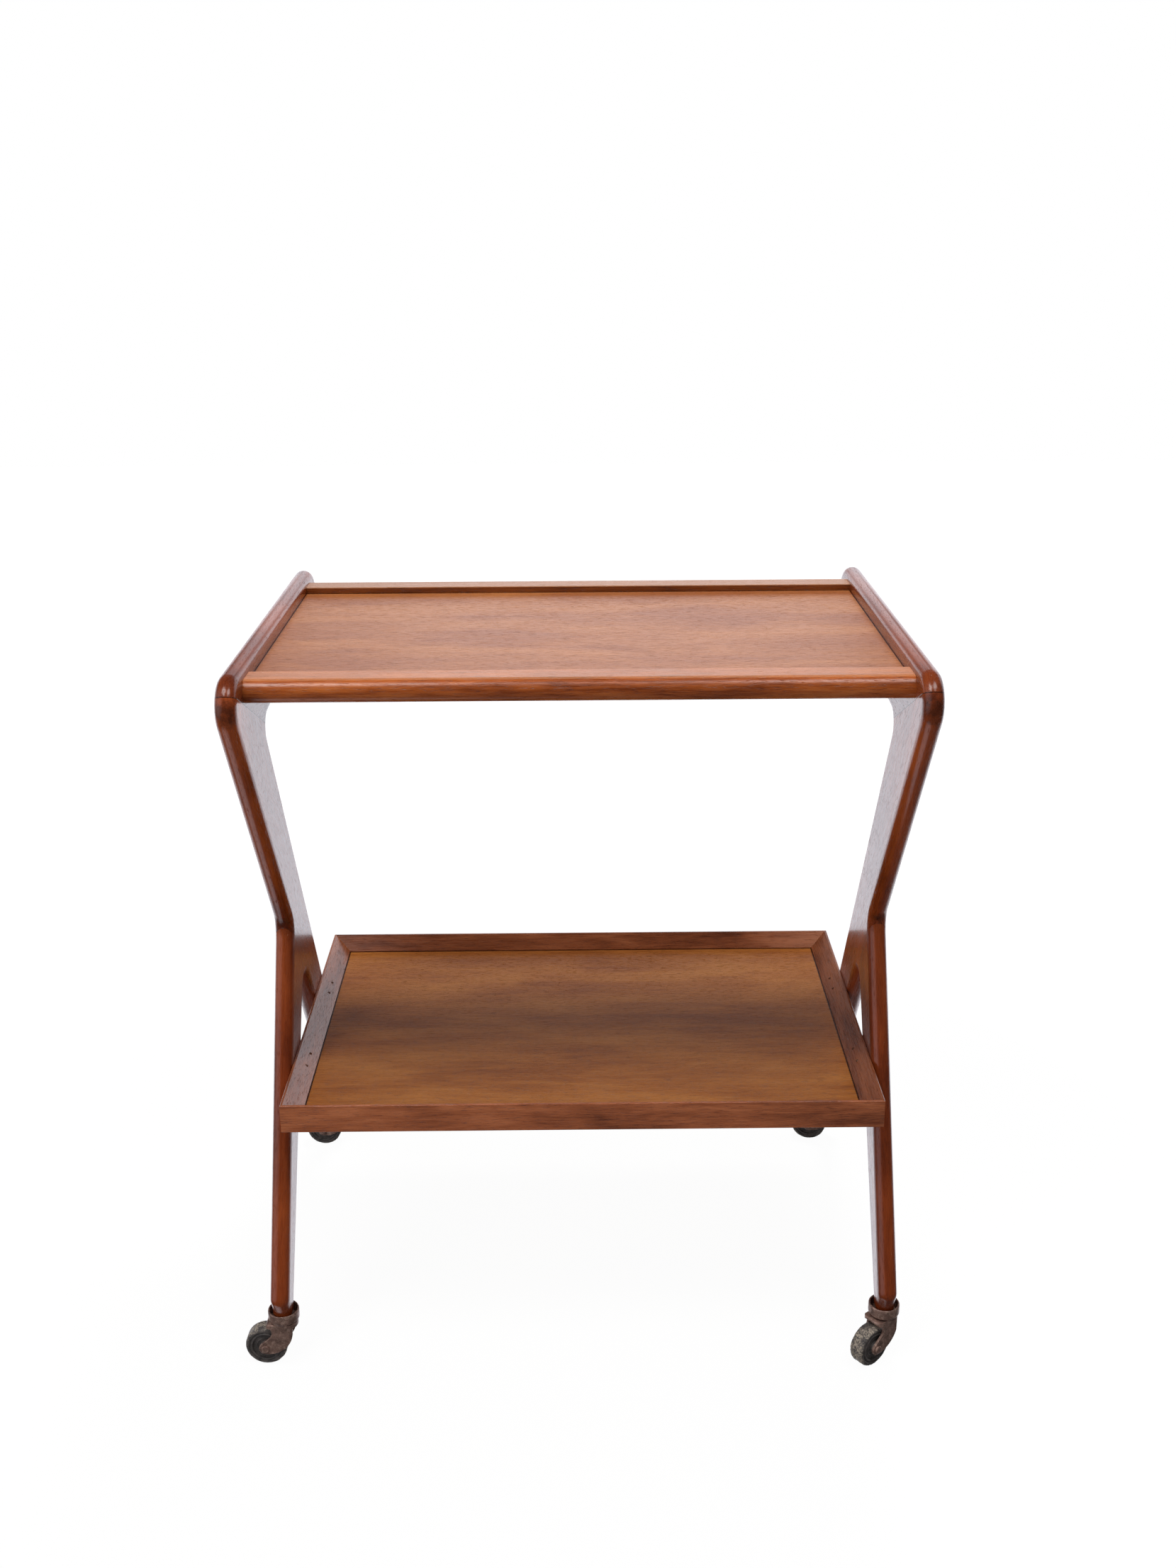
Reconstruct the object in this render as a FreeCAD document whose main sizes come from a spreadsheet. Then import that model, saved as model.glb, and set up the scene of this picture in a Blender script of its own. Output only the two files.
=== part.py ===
import FreeCAD, Part
import math
import os
import re
import Sketcher

# Serving trolley: two glued-up timber end frames, a top tray and a lower tray between them, and
# four swivelling cup castors. Millimetres and degrees. X runs from left to right, Y from the front
# to the back and Z up from the floor. The origin lies on the floor under the middle of the
# trolley's box, with the castors turned as they stand at rest.

# Driving sizes. Outline places of an end frame count Y from its foremost point and Z from the floor.
SIZES = {
    # whole trolley and end frames
    "overall_width": 650,
    "timber": 20,
    "edge_flat": 0.4,
    "crest_height": 758,
    "corner_radius": 31,
    "rail_length": 490,
    "rail_end_depth": 45,
    "rail_end_radius": 30,
    "rail_heel_radius": 12,
    "rail_root_depth": 78,
    "root_radius": 10,
    "diagonal_root_width": 106,
    "knee_height": 433,
    "knee_radius": 26,
    "crotch_drop": 66.5,
    "crotch_radius": 20,
    "toe_height": 85,
    "toe_reach": 22,
    "toe_radius": 12,
    "ankle_above_rim": 1,
    "ankle_radius": 6,
    "foot_clearance": 1,
    # joints inside the end frames
    "dowel_radius": 4,
    "dowel_length": 40,
    "dowel_clearance": 0.05,
    "dowel_end_gap": 0.5,
    "mitre_dowel_inset": 30,
    "mitre_dowel_pitch": 36,
    "knee_dowel_inset": 34,
    "knee_dowel_pitch": 36,
    # top tray
    "tray_setback": 37,
    "bar_height": 22.4,
    "bar_depth": 36,
    "bar_below_crest": 9.6,
    "bar_arris": 0.8,
    "panel_thickness": 6,
    "panel_recess": 7,
    "panel_gap": 0.2,
    "ledge_width": 8,
    "bar_dowel_length": 32,
    "bar_dowel_depth": 12,
    "bar_dowel_inset": 11,
    "bar_dowel_pitch": 14,
    "cleat_height": 16,
    "cleat_width": 16,
    "cleat_gap": 0.3,
    "cleat_arris": 1.5,
    "screw_radius": 1.75,
    "screw_head_radius": 3.5,
    "screw_head_height": 2.2,
    "screw_sink": 0.3,
    "screw_length": 27,
    "screw_inset": 40,
    # lower tray
    "shelf_setback": 56,
    "shelf_depth": 408,
    "shelf_top": 300,
    "moulding_height": 30.3,
    "moulding_lip": 2.5,
    "moulding_slope_width": 18.5,
    "moulding_slope_drop": 13.3,
    "moulding_step": 0.7,
    "moulding_arris": 0.8,
    "nail_radius": 1.1,
    "nail_head_radius": 1.7,
    "nail_head_height": 1.6,
    "nail_length": 26,
    "nail_below_top": 8,
    "nail_sink": 0.4,
    "nail_pitch": 26,
    # castors
    "castor_setback": 46,
    "wheelbase": 425.3,
    "wheel_radius": 22,
    "wheel_width": 17,
    "tread_radius": 3,
    "rim_radius": 17.6,
    "groove_width": 1.6,
    "groove_depth": 1.1,
    "ridge_width": 1.8,
    "web_depth": 2.2,
    "hub_radius": 6,
    "hub_gap": 0.3,
    "wheel_gap": 1,
    "trail": 19.5,
    "plate_clearance": 2.5,
    "plate_thickness": 5,
    "plate_reach": 15.5,
    "plate_corner": 4.4,
    "back_radius": 14.6,
    "cheek_thickness": 2.6,
    "cheek_back": 10.2,
    "cheek_rise": 20.4,
    "cheek_end_radius": 6.8,
    "cheek_arris": 0.9,
    "hollow_reach": 21,
    "hollow_height": 41.5,
    "hollow_radius": 9.1,
    "swivel_gap": 0.3,
    "running_fit": 0.06,
    "axle_radius": 2.5,
    "rivet_radius": 4.2,
    "rivet_height": 1.9,
    "rivet_round": 1.2,
    "pin_radius": 3,
    "pin_head_radius": 5,
    "pin_head_height": 2,
    "pin_screw_radius": 2.4,
    "pin_screw_length": 24,
    "pin_point": 5,
    "pin_end_gap": 1,
    "cup_radius": 16.3,
    "cup_base_radius": 13.4,
    "cup_height": 13.2,
    "cup_bevel": 2.6,
    "cup_wall": 1.9,
    "cup_floor": 2.5,
    "cup_lip": 0.7,
    "front_left_heading": 178,
    "front_right_heading": 218,
    "rear_left_heading": 176,
    "rear_right_heading": 169,
    # how far a cutting outline runs past what it cuts
    "overrun": 60,
}

# The front edge of the diagonal is one straight line, tangent to the rounded top corner, down to
# the rear foot. These two texts give its place across for a height, and the rear edge's.
FRONT_EDGE = ("(corner_radius - (corner_radius + ({0} - crest_height + corner_radius)"
              " * sin(diagonal_lean)) / cos(diagonal_lean))")
REAR_EDGE = "(root_y + (root_z - ({0})) * (rear_toe_y - root_y) / (root_z - toe_height))"

# Sizes worked out from the driving ones, in the order in which they build on each other.
DERIVED = {
    "half_width": "overall_width / 2",
    "frame_x": "half_width - timber / 2",
    "inner_width": "overall_width - 2 * timber",
    "edge_round": "(timber - edge_flat) / 2",
    "plate_underside": "2 * wheel_radius + plate_clearance",
    "plate_top": "plate_underside + plate_thickness",
    "cup_underside": "plate_top + swivel_gap",
    "cup_inside": "cup_underside + cup_floor",
    "cup_rim": "cup_underside + cup_height",
    "foot_half": "cup_radius - cup_wall - foot_clearance",
    "rear_castor_y": "castor_setback + wheelbase",
    "ankle_z": "cup_rim + ankle_above_rim",
    "foot_run_y": "rear_castor_y - foot_half - corner_radius",
    "foot_run_z": "crest_height - corner_radius - ankle_z",
    "diagonal_lean": "atan(foot_run_y / foot_run_z)"
                     " + asin(corner_radius / sqrt(foot_run_y ^ 2 + foot_run_z ^ 2))",
    "front_top_y": FRONT_EDGE.format("crest_height"),
    "root_z": "crest_height - rail_root_depth",
    "root_y": FRONT_EDGE.format("root_z") + " + diagonal_root_width",
    "rail_heel_z": "crest_height - rail_end_depth",
    "knee_y": FRONT_EDGE.format("knee_height"),
    "crotch_height": "knee_height - crotch_drop",
    "crotch_y": FRONT_EDGE.format("crotch_height"),
    "front_toe_y": "castor_setback - toe_reach",
    "rear_toe_y": "rear_castor_y + toe_reach",
    # the lie of the edges, as angles, for the joint lines that halve the corners between them
    "underside_rise": "atan((rail_heel_z - root_z) / (rail_length - root_y))",
    "rear_lean": "atan((rear_toe_y - root_y) / (root_z - toe_height))",
    "front_leg_lean": "atan((knee_y - front_toe_y) / (knee_height - toe_height))",
    "front_back_lean": "atan((crotch_y - castor_setback - foot_half) / (crotch_height - ankle_z))",
    "mitre_dip": "(90 deg - rear_lean - underside_rise) / 2",
    "toe_tuck": "atan((toe_reach - foot_half) / (toe_height - ankle_z))",
    # the middle of the knee's and of the crotch's round, where the front leg's seam starts and ends
    "knee_turn": "(diagonal_lean + front_leg_lean) / 2",
    "knee_tilt": "(diagonal_lean - front_leg_lean) / 2",
    "knee_inset": "knee_radius * (1 / cos(knee_turn) - 1)",
    "seam_top_y": "knee_y - knee_inset * cos(knee_tilt)",
    "seam_top_z": "knee_height - knee_inset * sin(knee_tilt)",
    "crotch_half": "(diagonal_lean + front_back_lean) / 2",
    "crotch_tilt": "(diagonal_lean - front_back_lean) / 2",
    "crotch_inset": "crotch_radius * (1 / sin(crotch_half) - 1)",
    "seam_foot_y": "crotch_y + crotch_inset * sin(crotch_tilt)",
    "seam_foot_z": "crotch_height - crotch_inset * cos(crotch_tilt)",
    "seam_lean": "atan((seam_foot_y - seam_top_y) / (seam_top_z - seam_foot_z))",
    "seam_length": "sqrt((seam_foot_y - seam_top_y) ^ 2 + (seam_top_z - seam_foot_z) ^ 2)",
    # the box: the rear toe or the rail's end is hindmost, a wheel leftmost and a cup rightmost
    "toe_centre_y": "rear_toe_y - toe_radius * (cos(rear_lean) + cos(toe_tuck))"
                    " / (1 + cos(rear_lean + toe_tuck))",
    "overall_depth": "max(toe_centre_y + toe_radius; rail_length)",
    "middle_y": "overall_depth / 2",
    "castor_sweep": "trail + wheel_radius - tread_radius",
    "side_sweep": "wheel_width / 2 - tread_radius",
    "front_reach": "tread_radius + castor_sweep * abs(cos(front_left_heading))"
                   " + side_sweep * abs(sin(front_left_heading))",
    "rear_reach": "tread_radius + castor_sweep * abs(cos(rear_left_heading))"
                  " + side_sweep * abs(sin(rear_left_heading))",
    "middle_x": "(cup_radius - max(front_reach; rear_reach)) / 2",
    # top tray
    "bar_top": "crest_height - bar_below_crest",
    "tray_depth": "rail_length - 2 * tray_setback",
    "bar_round": "(bar_height - edge_flat) / 2",
    "panel_top": "bar_top - panel_recess",
    "panel_underside": "panel_top - panel_thickness",
    "panel_depth": "tray_depth - 2 * bar_depth - 2 * panel_gap",
    "panel_width": "inner_width - 2 * panel_gap",
    "bar_dowel_z": "bar_top - bar_height / 2",
    "cleat_length": "tray_depth - 2 * (bar_depth + ledge_width + cleat_gap)",
    "cleat_screw_z": "panel_underside - cleat_height / 2",
    # lower tray
    "shelf_bottom": "shelf_top - moulding_height",
    "moulding_width": "moulding_lip + moulding_slope_width",
    "shelf_panel_top": "shelf_top - moulding_slope_drop - moulding_step",
    "shelf_panel_depth": "shelf_depth - 2 * (moulding_width + panel_gap)",
    "shelf_panel_width": "inner_width - 2 * (moulding_width + panel_gap)",
    "nail_z": "shelf_top - nail_below_top",
    "nail_cover": "moulding_lip + moulding_slope_width * nail_below_top / moulding_slope_drop",
    "front_leg_centre_y": "(knee_y - (knee_height - nail_z) * tan(front_leg_lean) + crotch_y"
                          " - (crotch_height - nail_z) * tan(front_back_lean)) / 2",
    "rear_leg_centre_y": "(" + FRONT_EDGE.format("nail_z") + " + " + REAR_EDGE.format("nail_z") + ") / 2",
    # castors
    "fork_half": "wheel_width / 2 + wheel_gap + cheek_thickness",
    "slot_half": "wheel_width / 2 + wheel_gap",
    "cheek_radius": "((cheek_back + trail) ^ 2 + cheek_rise ^ 2 - cheek_end_radius ^ 2)"
                    " / (2 * (cheek_back + trail - cheek_end_radius))",
    "hub_half": "slot_half - hub_gap",
    "pin_foot": "plate_underside - swivel_gap - pin_head_height",
    "lip_end": "plate_reach + plate_thickness / 2",
    "hollow_top": "hollow_reach - sqrt(hollow_radius ^ 2 - (plate_underside - hollow_height) ^ 2)",
    "cheek_turn": "atan((trail - hollow_reach) / (hollow_height - wheel_radius))"
                  " - acos((hollow_radius + cheek_end_radius)"
                  " / sqrt((trail - hollow_reach) ^ 2 + (hollow_height - wheel_radius) ^ 2))",
    "cheek_share": "cheek_end_radius / (cheek_radius - cheek_end_radius)",
}

doc = FreeCAD.newDocument("serving_trolley")
sizes = doc.addObject("Spreadsheet::Sheet", "sizes")
for row, (alias, value) in enumerate(SIZES.items(), start=1):
    sizes.set(f"A{row}", alias)
    sizes.set(f"B{row}", str(value))
    sizes.setAlias(f"B{row}", alias)
for row, (alias, formula) in enumerate(DERIVED.items(), start=len(SIZES) + 1):
    sizes.set(f"A{row}", alias)
    sizes.set(f"B{row}", "=" + formula)
    sizes.setAlias(f"B{row}", alias)
doc.recompute()

NAMES = set(SIZES) | set(DERIVED)


def formula(text):
    """A formula in the sheet's aliases, in the form that an object of the document reads."""
    return re.sub(r"[a-z_]+", lambda word: "sizes." + word[0] if word[0] in NAMES else word[0], text)


def size(text):
    """The present value of a formula in the sheet's aliases."""
    value = sizes.evalExpression(formula(text))
    return float(getattr(value, "Value", value))


def bind(thing, **formulas):
    """Bind properties of an object to formulas. A double underscore stands for a dot."""
    for name, text in formulas.items():
        thing.setExpression(name.replace("__", "."), formula(text))


def place(thing, across="0", along="0", up="0", turn="0"):
    """Put a piece at its place in the end frames' coordinates, turned about the upright."""
    about_upright = FreeCAD.Rotation(FreeCAD.Vector(0, 0, 1), size(turn))
    thing.Placement = FreeCAD.Placement(FreeCAD.Vector(), about_upright)
    bind(
        thing,
        Placement__Base__x=f"{across} - middle_x",
        Placement__Base__y=f"{along} - middle_y",
        Placement__Base__z=up,
        Placement__Rotation__Angle=turn,
    )


def new_body(label):
    body = doc.addObject("PartDesign::Body", label)
    body.Label = label
    return body


def new_sketch(body, plane, label):
    """A sketch on one of the body's own origin planes."""
    sketch = body.newObject("Sketcher::SketchObject", label)
    support = next(f for f in body.Origin.OriginFeatures if f.Role == plane)
    sketch.AttachmentSupport = [(support, "")]
    sketch.MapMode = "FlatFace"
    return sketch


def pin_point(sketch, edge, end, corner, label):
    """Hold one end of a sketch edge at a corner given as two formulas."""
    for kind, text in zip(("DistanceX", "DistanceY"), corner):
        index = sketch.addConstraint(Sketcher.Constraint(kind, -1, 1, edge, end, size(text)))
        name = f"{label}_{kind[-1].lower()}"
        sketch.renameConstraint(index, name)
        sketch.setExpression("Constraints." + name, formula(text))


def polygon(body, plane, label, corners):
    """A closed outline of straight lines through named corners."""
    sketch = new_sketch(body, plane, label)
    points = [FreeCAD.Vector(size(a), size(b), 0) for a, b in corners.values()]
    for here, there in zip(points, points[1:] + points[:1]):
        sketch.addGeometry(Part.LineSegment(here, there), False)
    count = len(points)
    for edge in range(count):
        sketch.addConstraint(Sketcher.Constraint("Coincident", edge, 2, (edge + 1) % count, 1))
    for edge, (name, corner) in enumerate(corners.items()):
        pin_point(sketch, edge, 1, corner, name)
    return sketch


def pad(body, sketch, length, both_ways=True):
    """Thicken an outline, by default half to each side of its plane."""
    solid = body.newObject("PartDesign::Pad", sketch.Name + "_pad")
    solid.Profile = sketch
    solid.SideType = "Symmetric" if both_ways else "One side"
    bind(solid, Length=length)
    doc.recompute()
    return solid


def pocket(body, sketch, both_ways=True):
    """Cut an outline through the whole piece, and make sure that it did cut."""
    before = body.Shape.Volume
    cut = body.newObject("PartDesign::Pocket", sketch.Name + "_cut")
    cut.Profile = sketch
    cut.Type = "ThroughAll"
    cut.SideType = "Symmetric" if both_ways else "One side"
    doc.recompute()
    if not body.Shape.Volume < before:
        raise RuntimeError(sketch.Name + " cuts nothing")
    return cut


def revolve(body, sketch, axis):
    solid = body.newObject("PartDesign::Revolution", sketch.Name + "_turned")
    solid.Profile = sketch
    solid.ReferenceAxis = (sketch, [axis])
    solid.Angle = 360
    doc.recompute()
    return solid


def edges_where(feature, test):
    """Names of the edges of a feature whose two ends and middle pass a test."""
    found = []
    for number, edge in enumerate(feature.Shape.Edges, start=1):
        ends = [vertex.Point for vertex in edge.Vertexes]
        middle = edge.valueAt((edge.FirstParameter + edge.LastParameter) / 2)
        if all(test(point) for point in ends + [middle]):
            found.append(f"Edge{number}")
    if not found:
        raise RuntimeError("no edges found on " + feature.Name)
    return found


def fillet(body, feature, label, radius, test):
    rounded = body.newObject("PartDesign::Fillet", label)
    rounded.Base = (feature, edges_where(feature, test))
    bind(rounded, Radius=radius)
    doc.recompute()
    return rounded


def near(a, b):
    """Two places in the document are the same, whatever the size of the piece."""
    return abs(a - b) < size("edge_flat") / 100


def bore(body, label, radius, depth, spot, direction):
    """A round hole from a spot, given as three formulas, along a direction vector."""
    before = body.Shape.Volume
    hole = body.newObject("PartDesign::SubtractiveCylinder", label)
    hole.Placement = FreeCAD.Placement(
        FreeCAD.Vector(), FreeCAD.Rotation(FreeCAD.Vector(0, 0, 1), FreeCAD.Vector(*direction))
    )
    bind(hole, Radius=radius, Height=depth)
    bind(hole, Placement__Base__x=spot[0], Placement__Base__y=spot[1], Placement__Base__z=spot[2])
    doc.recompute()
    if not body.Shape.Volume < before:
        raise RuntimeError(label + " cuts nothing")


SIDES = {"left": "-1", "right": "1"}

# End frames. Each is glued up from a top rail, a rear leg that is the long diagonal, and a front
# leg, and then rounded over all its edges as one. So each piece starts from the same rounded
# outline and is cut back to its own share at the seams.

OUTLINE = {
    "crest_front": ("front_top_y", "crest_height"),
    "crest_rear": ("rail_length", "crest_height"),
    "rail_heel": ("rail_length", "rail_heel_z"),
    "root": ("root_y", "root_z"),
    "rear_toe": ("rear_toe_y", "toe_height"),
    "rear_ankle": ("rear_castor_y + foot_half", "ankle_z"),
    "rear_foot_back": ("rear_castor_y + foot_half", "cup_inside"),
    "rear_foot_front": ("rear_castor_y - foot_half", "cup_inside"),
    "rear_instep": ("rear_castor_y - foot_half", "ankle_z"),
    "crotch": ("crotch_y", "crotch_height"),
    "front_heel": ("castor_setback + foot_half", "ankle_z"),
    "front_foot_back": ("castor_setback + foot_half", "cup_inside"),
    "front_foot_front": ("castor_setback - foot_half", "cup_inside"),
    "front_ankle": ("castor_setback - foot_half", "ankle_z"),
    "front_toe": ("front_toe_y", "toe_height"),
    "knee": ("knee_y", "knee_height"),
}
ROUNDS = {
    "corner_radius": ["crest_front"],
    "rail_end_radius": ["crest_rear"],
    "rail_heel_radius": ["rail_heel"],
    "root_radius": ["root"],
    "knee_radius": ["knee"],
    "crotch_radius": ["crotch"],
    "toe_radius": ["front_toe", "rear_toe"],
    "ankle_radius": ["rear_ankle", "rear_instep", "front_heel", "front_ankle"],
}
FAR = "crest_height + overrun"
MITRE_RUN = "(rail_length + overrun)"

# What a seam takes away, as seen from the side: the mitre from the inner corner up to the front,
# and the front leg's seam from the middle of the knee's round to the middle of the crotch's.
ABOVE_MITRE = {
    "front_end": (f"root_y - {MITRE_RUN} * cos(mitre_dip)", f"root_z + {MITRE_RUN} * sin(mitre_dip)"),
    "back_end": (f"root_y + {MITRE_RUN} * cos(mitre_dip)", f"root_z - {MITRE_RUN} * sin(mitre_dip)"),
    "high_back": (f"root_y + {MITRE_RUN}", FAR + " + rail_length"),
    "high_front": (f"root_y - {MITRE_RUN}", FAR + " + rail_length"),
}
BELOW_MITRE = {
    "front_end": ABOVE_MITRE["front_end"],
    "back_end": ABOVE_MITRE["back_end"],
    "low_back": (f"root_y + {MITRE_RUN}", "0 - rail_length"),
    "low_front": (f"root_y - {MITRE_RUN}", "0 - rail_length"),
}
SEAM = {
    "seam_top": ("seam_top_y", "seam_top_z"),
    "seam_foot": ("seam_foot_y", "seam_foot_z"),
}
FRONT_LEG_SHARE = {
    **SEAM,
    "under_crotch": ("seam_foot_y", "0 - overrun"),
    "low_front": ("0 - overrun", "0 - overrun"),
    "knee_front": ("0 - overrun", "seam_top_z"),
}
OTHER_SHARE = {
    **SEAM,
    "under_crotch": ("seam_foot_y", "0 - overrun"),
    "low_back": ("overall_depth + overrun", "0 - overrun"),
    "high_back": ("overall_depth + overrun", FAR),
    "high_front": ("front_top_y - overrun", FAR),
    "knee_front": ("front_top_y - overrun", "seam_top_z"),
}


def frame_blank():
    """The whole end frame's outline as one board, its corners and all its long edges rounded."""
    body = new_body("end_frame_blank")
    board = pad(body, polygon(body, "YZ_Plane", body.Name + "_outline", OUTLINE), "timber")
    corners = {name: (size(a), size(b)) for name, (a, b) in OUTLINE.items()}
    for radius, names in ROUNDS.items():
        spots = [corners[name] for name in names]
        at_corner = lambda point: any(near(point.y, a) and near(point.z, b) for a, b in spots)
        board = fillet(body, board, f"{body.Name}_{radius}", radius, at_corner)
    face, floor = size("timber / 2"), size("cup_inside")
    on_face = [
        name
        for name in edges_where(board, lambda point: near(abs(point.x), face))
        if not all(near(v.Point.z, floor) for v in board.Shape.getElement(name).Vertexes)
    ]
    rounded = body.newObject("PartDesign::Fillet", body.Name + "_edges")
    rounded.Base = (board, on_face)
    bind(rounded, Radius="edge_round")
    doc.recompute()
    return body


def share_of(blank, label):
    """A body that starts as a copy of the end frame's rounded blank."""
    body = new_body(label)
    body.BaseFeature = blank
    doc.recompute()
    return body


def mitre_dowel_spot(number):
    """Where a mitre dowel crosses the seam: its distance from the inner corner, then its place."""
    run = f"(mitre_dowel_inset + {number} * mitre_dowel_pitch)"
    return f"root_y - {run} * cos(mitre_dip)", f"root_z + {run} * sin(mitre_dip)"


def knee_dowel_spot(number):
    run = f"(knee_dowel_inset + {number} * knee_dowel_pitch)"
    return f"seam_top_y + {run} * sin(seam_lean)", f"seam_top_z - {run} * cos(seam_lean)"


# Which way the dowels point, across their seams.
MITRE_ACROSS = ("sin(mitre_dip)", "cos(mitre_dip)")
KNEE_ACROSS = ("cos(seam_lean)", "sin(seam_lean)")
DOWEL_HOLE_DEPTH = "(dowel_length / 2 + dowel_end_gap)"


def dowel_holes(body, label, spot_of, across):
    """Two blind holes that a pair of dowels shares with the piece across the seam."""
    direction = (0, size(across[0]), size(across[1]))
    for number in range(2):
        y, z = spot_of(number)
        spot = ("0", f"{y} - {DOWEL_HOLE_DEPTH} * {across[0]}", f"{z} - {DOWEL_HOLE_DEPTH} * {across[1]}")
        bore(
            body, f"{label}_{number}", "dowel_radius + dowel_clearance",
            f"2 * {DOWEL_HOLE_DEPTH}", spot, direction,
        )


def bar_dowel_spots():
    """Where the top tray's dowels enter the end frames: two for each bar, front and rear."""
    for edge, inward in (("tray_setback", "+"), ("(rail_length - tray_setback)", "-")):
        for number in range(2):
            yield f"{edge} {inward} (bar_dowel_inset + {number} * bar_dowel_pitch)", "bar_dowel_z"


def nail_spots():
    """Where the lower tray is nailed to the legs of one side: two nails in each leg."""
    for centre in ("front_leg_centre_y", "rear_leg_centre_y"):
        for step in ("-", "+"):
            yield f"{centre} {step} nail_pitch / 2", "nail_z"


def cleat_screw_spots():
    """Where a cleat is screwed to its end frame: near both ends and in the middle."""
    for step in ("-1", "0", "1"):
        yield f"rail_length / 2 + {step} * (cleat_length / 2 - screw_inset)", "cleat_screw_z"


blank = frame_blank()
for side, sign in SIDES.items():
    face = f"{sign} * (0 - timber / 2)"
    nail_grip = "nail_length + nail_sink - nail_cover"
    screw_grip = "screw_length + screw_sink - cleat_width"

    top_rail = share_of(blank, side + "_top_rail")
    pocket(top_rail, polygon(top_rail, "YZ_Plane", side + "_rail_mitre", BELOW_MITRE))
    dowel_holes(top_rail, side + "_rail_mitre_hole", mitre_dowel_spot, MITRE_ACROSS)
    outward = (float(sign), 0, 0)
    for number, (y, z) in enumerate(bar_dowel_spots()):
        bore(
            top_rail, f"{side}_bar_hole_{number}", "dowel_radius + dowel_clearance",
            "bar_dowel_depth + dowel_end_gap", (face, y, z), outward,
        )
    for number, (y, z) in enumerate(cleat_screw_spots()):
        bore(
            top_rail, f"{side}_cleat_hole_{number}", "screw_radius",
            f"{screw_grip} + dowel_end_gap", (face, y, z), outward,
        )

    rear_leg = share_of(blank, side + "_rear_leg")
    pocket(rear_leg, polygon(rear_leg, "YZ_Plane", side + "_rear_leg_mitre", ABOVE_MITRE))
    pocket(rear_leg, polygon(rear_leg, "YZ_Plane", side + "_rear_leg_seam", FRONT_LEG_SHARE))
    dowel_holes(rear_leg, side + "_rear_leg_mitre_hole", mitre_dowel_spot, MITRE_ACROSS)
    dowel_holes(rear_leg, side + "_rear_leg_knee_hole", knee_dowel_spot, KNEE_ACROSS)

    front_leg = share_of(blank, side + "_front_leg")
    pocket(front_leg, polygon(front_leg, "YZ_Plane", side + "_front_leg_seam", OTHER_SHARE))
    dowel_holes(front_leg, side + "_front_leg_knee_hole", knee_dowel_spot, KNEE_ACROSS)

    for number, (y, z) in enumerate(nail_spots()):
        leg = front_leg if number < 2 else rear_leg
        bore(
            leg, f"{side}_nail_hole_{number}", "nail_radius",
            f"{nail_grip} + nail_sink", (face, y, z), outward,
        )
    for leg, y in ((front_leg, "castor_setback"), (rear_leg, "rear_castor_y")):
        bore(
            leg, leg.Name + "_screw_hole", "pin_screw_radius",
            "pin_screw_length + pin_end_gap", ("0", y, "cup_inside"), (0, 0, 1),
        )
    for piece in (top_rail, rear_leg, front_leg):
        place(piece, across=f"{sign} * frame_x")

# Dowels, nails and screws. Each kind is one node of loose, alike pieces.


def loose_set(label, pieces):
    group = doc.addObject("Part::Compound", label)
    group.Label = label
    group.Links = pieces
    return group


def peg(label, radius, length, spot, direction):
    """A round peg whose middle lies at a spot, given as three formulas in document places."""
    rod = doc.addObject("Part::Cylinder", label)
    along = FreeCAD.Vector(*[size(part) for part in direction])
    turn = FreeCAD.Rotation(FreeCAD.Vector(0, 0, 1), along)
    rod.Placement = FreeCAD.Placement(FreeCAD.Vector(), turn)
    start = [f"{at} - {length} / 2 * ({part})" for at, part in zip(spot, direction)]
    bind(rod, Radius=radius, Height=length)
    bind(rod, Placement__Base__x=start[0], Placement__Base__y=start[1], Placement__Base__z=start[2])
    return rod


def headed_profile(shank_radius, head_radius, head_height, length):
    """Half the section of a nail or countersunk screw, its head's top on the plane and the point down."""
    return {
        "head_middle": ("0", "0"),
        "head_edge": (head_radius, "0"),
        "neck": (shank_radius, f"0 - {head_height}"),
        "shank_end": (shank_radius, f"0 - {length} + 2 * {shank_radius}"),
        "point": ("0", f"0 - {length}"),
    }


def headed(label, profile, across, along, up, outward):
    """A nail or screw driven level into an end frame: its head at the spot, its point outward."""
    body = new_body(label)
    revolve(body, polygon(body, "XZ_Plane", label + "_section", profile), "V_Axis")
    lay = FreeCAD.Rotation(FreeCAD.Vector(0, 0, -1), FreeCAD.Vector(*outward))
    body.Placement = FreeCAD.Placement(FreeCAD.Vector(), lay)
    bind(
        body,
        Placement__Base__x=f"{across} - middle_x",
        Placement__Base__y=f"{along} - middle_y",
        Placement__Base__z=up,
    )
    return body


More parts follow.
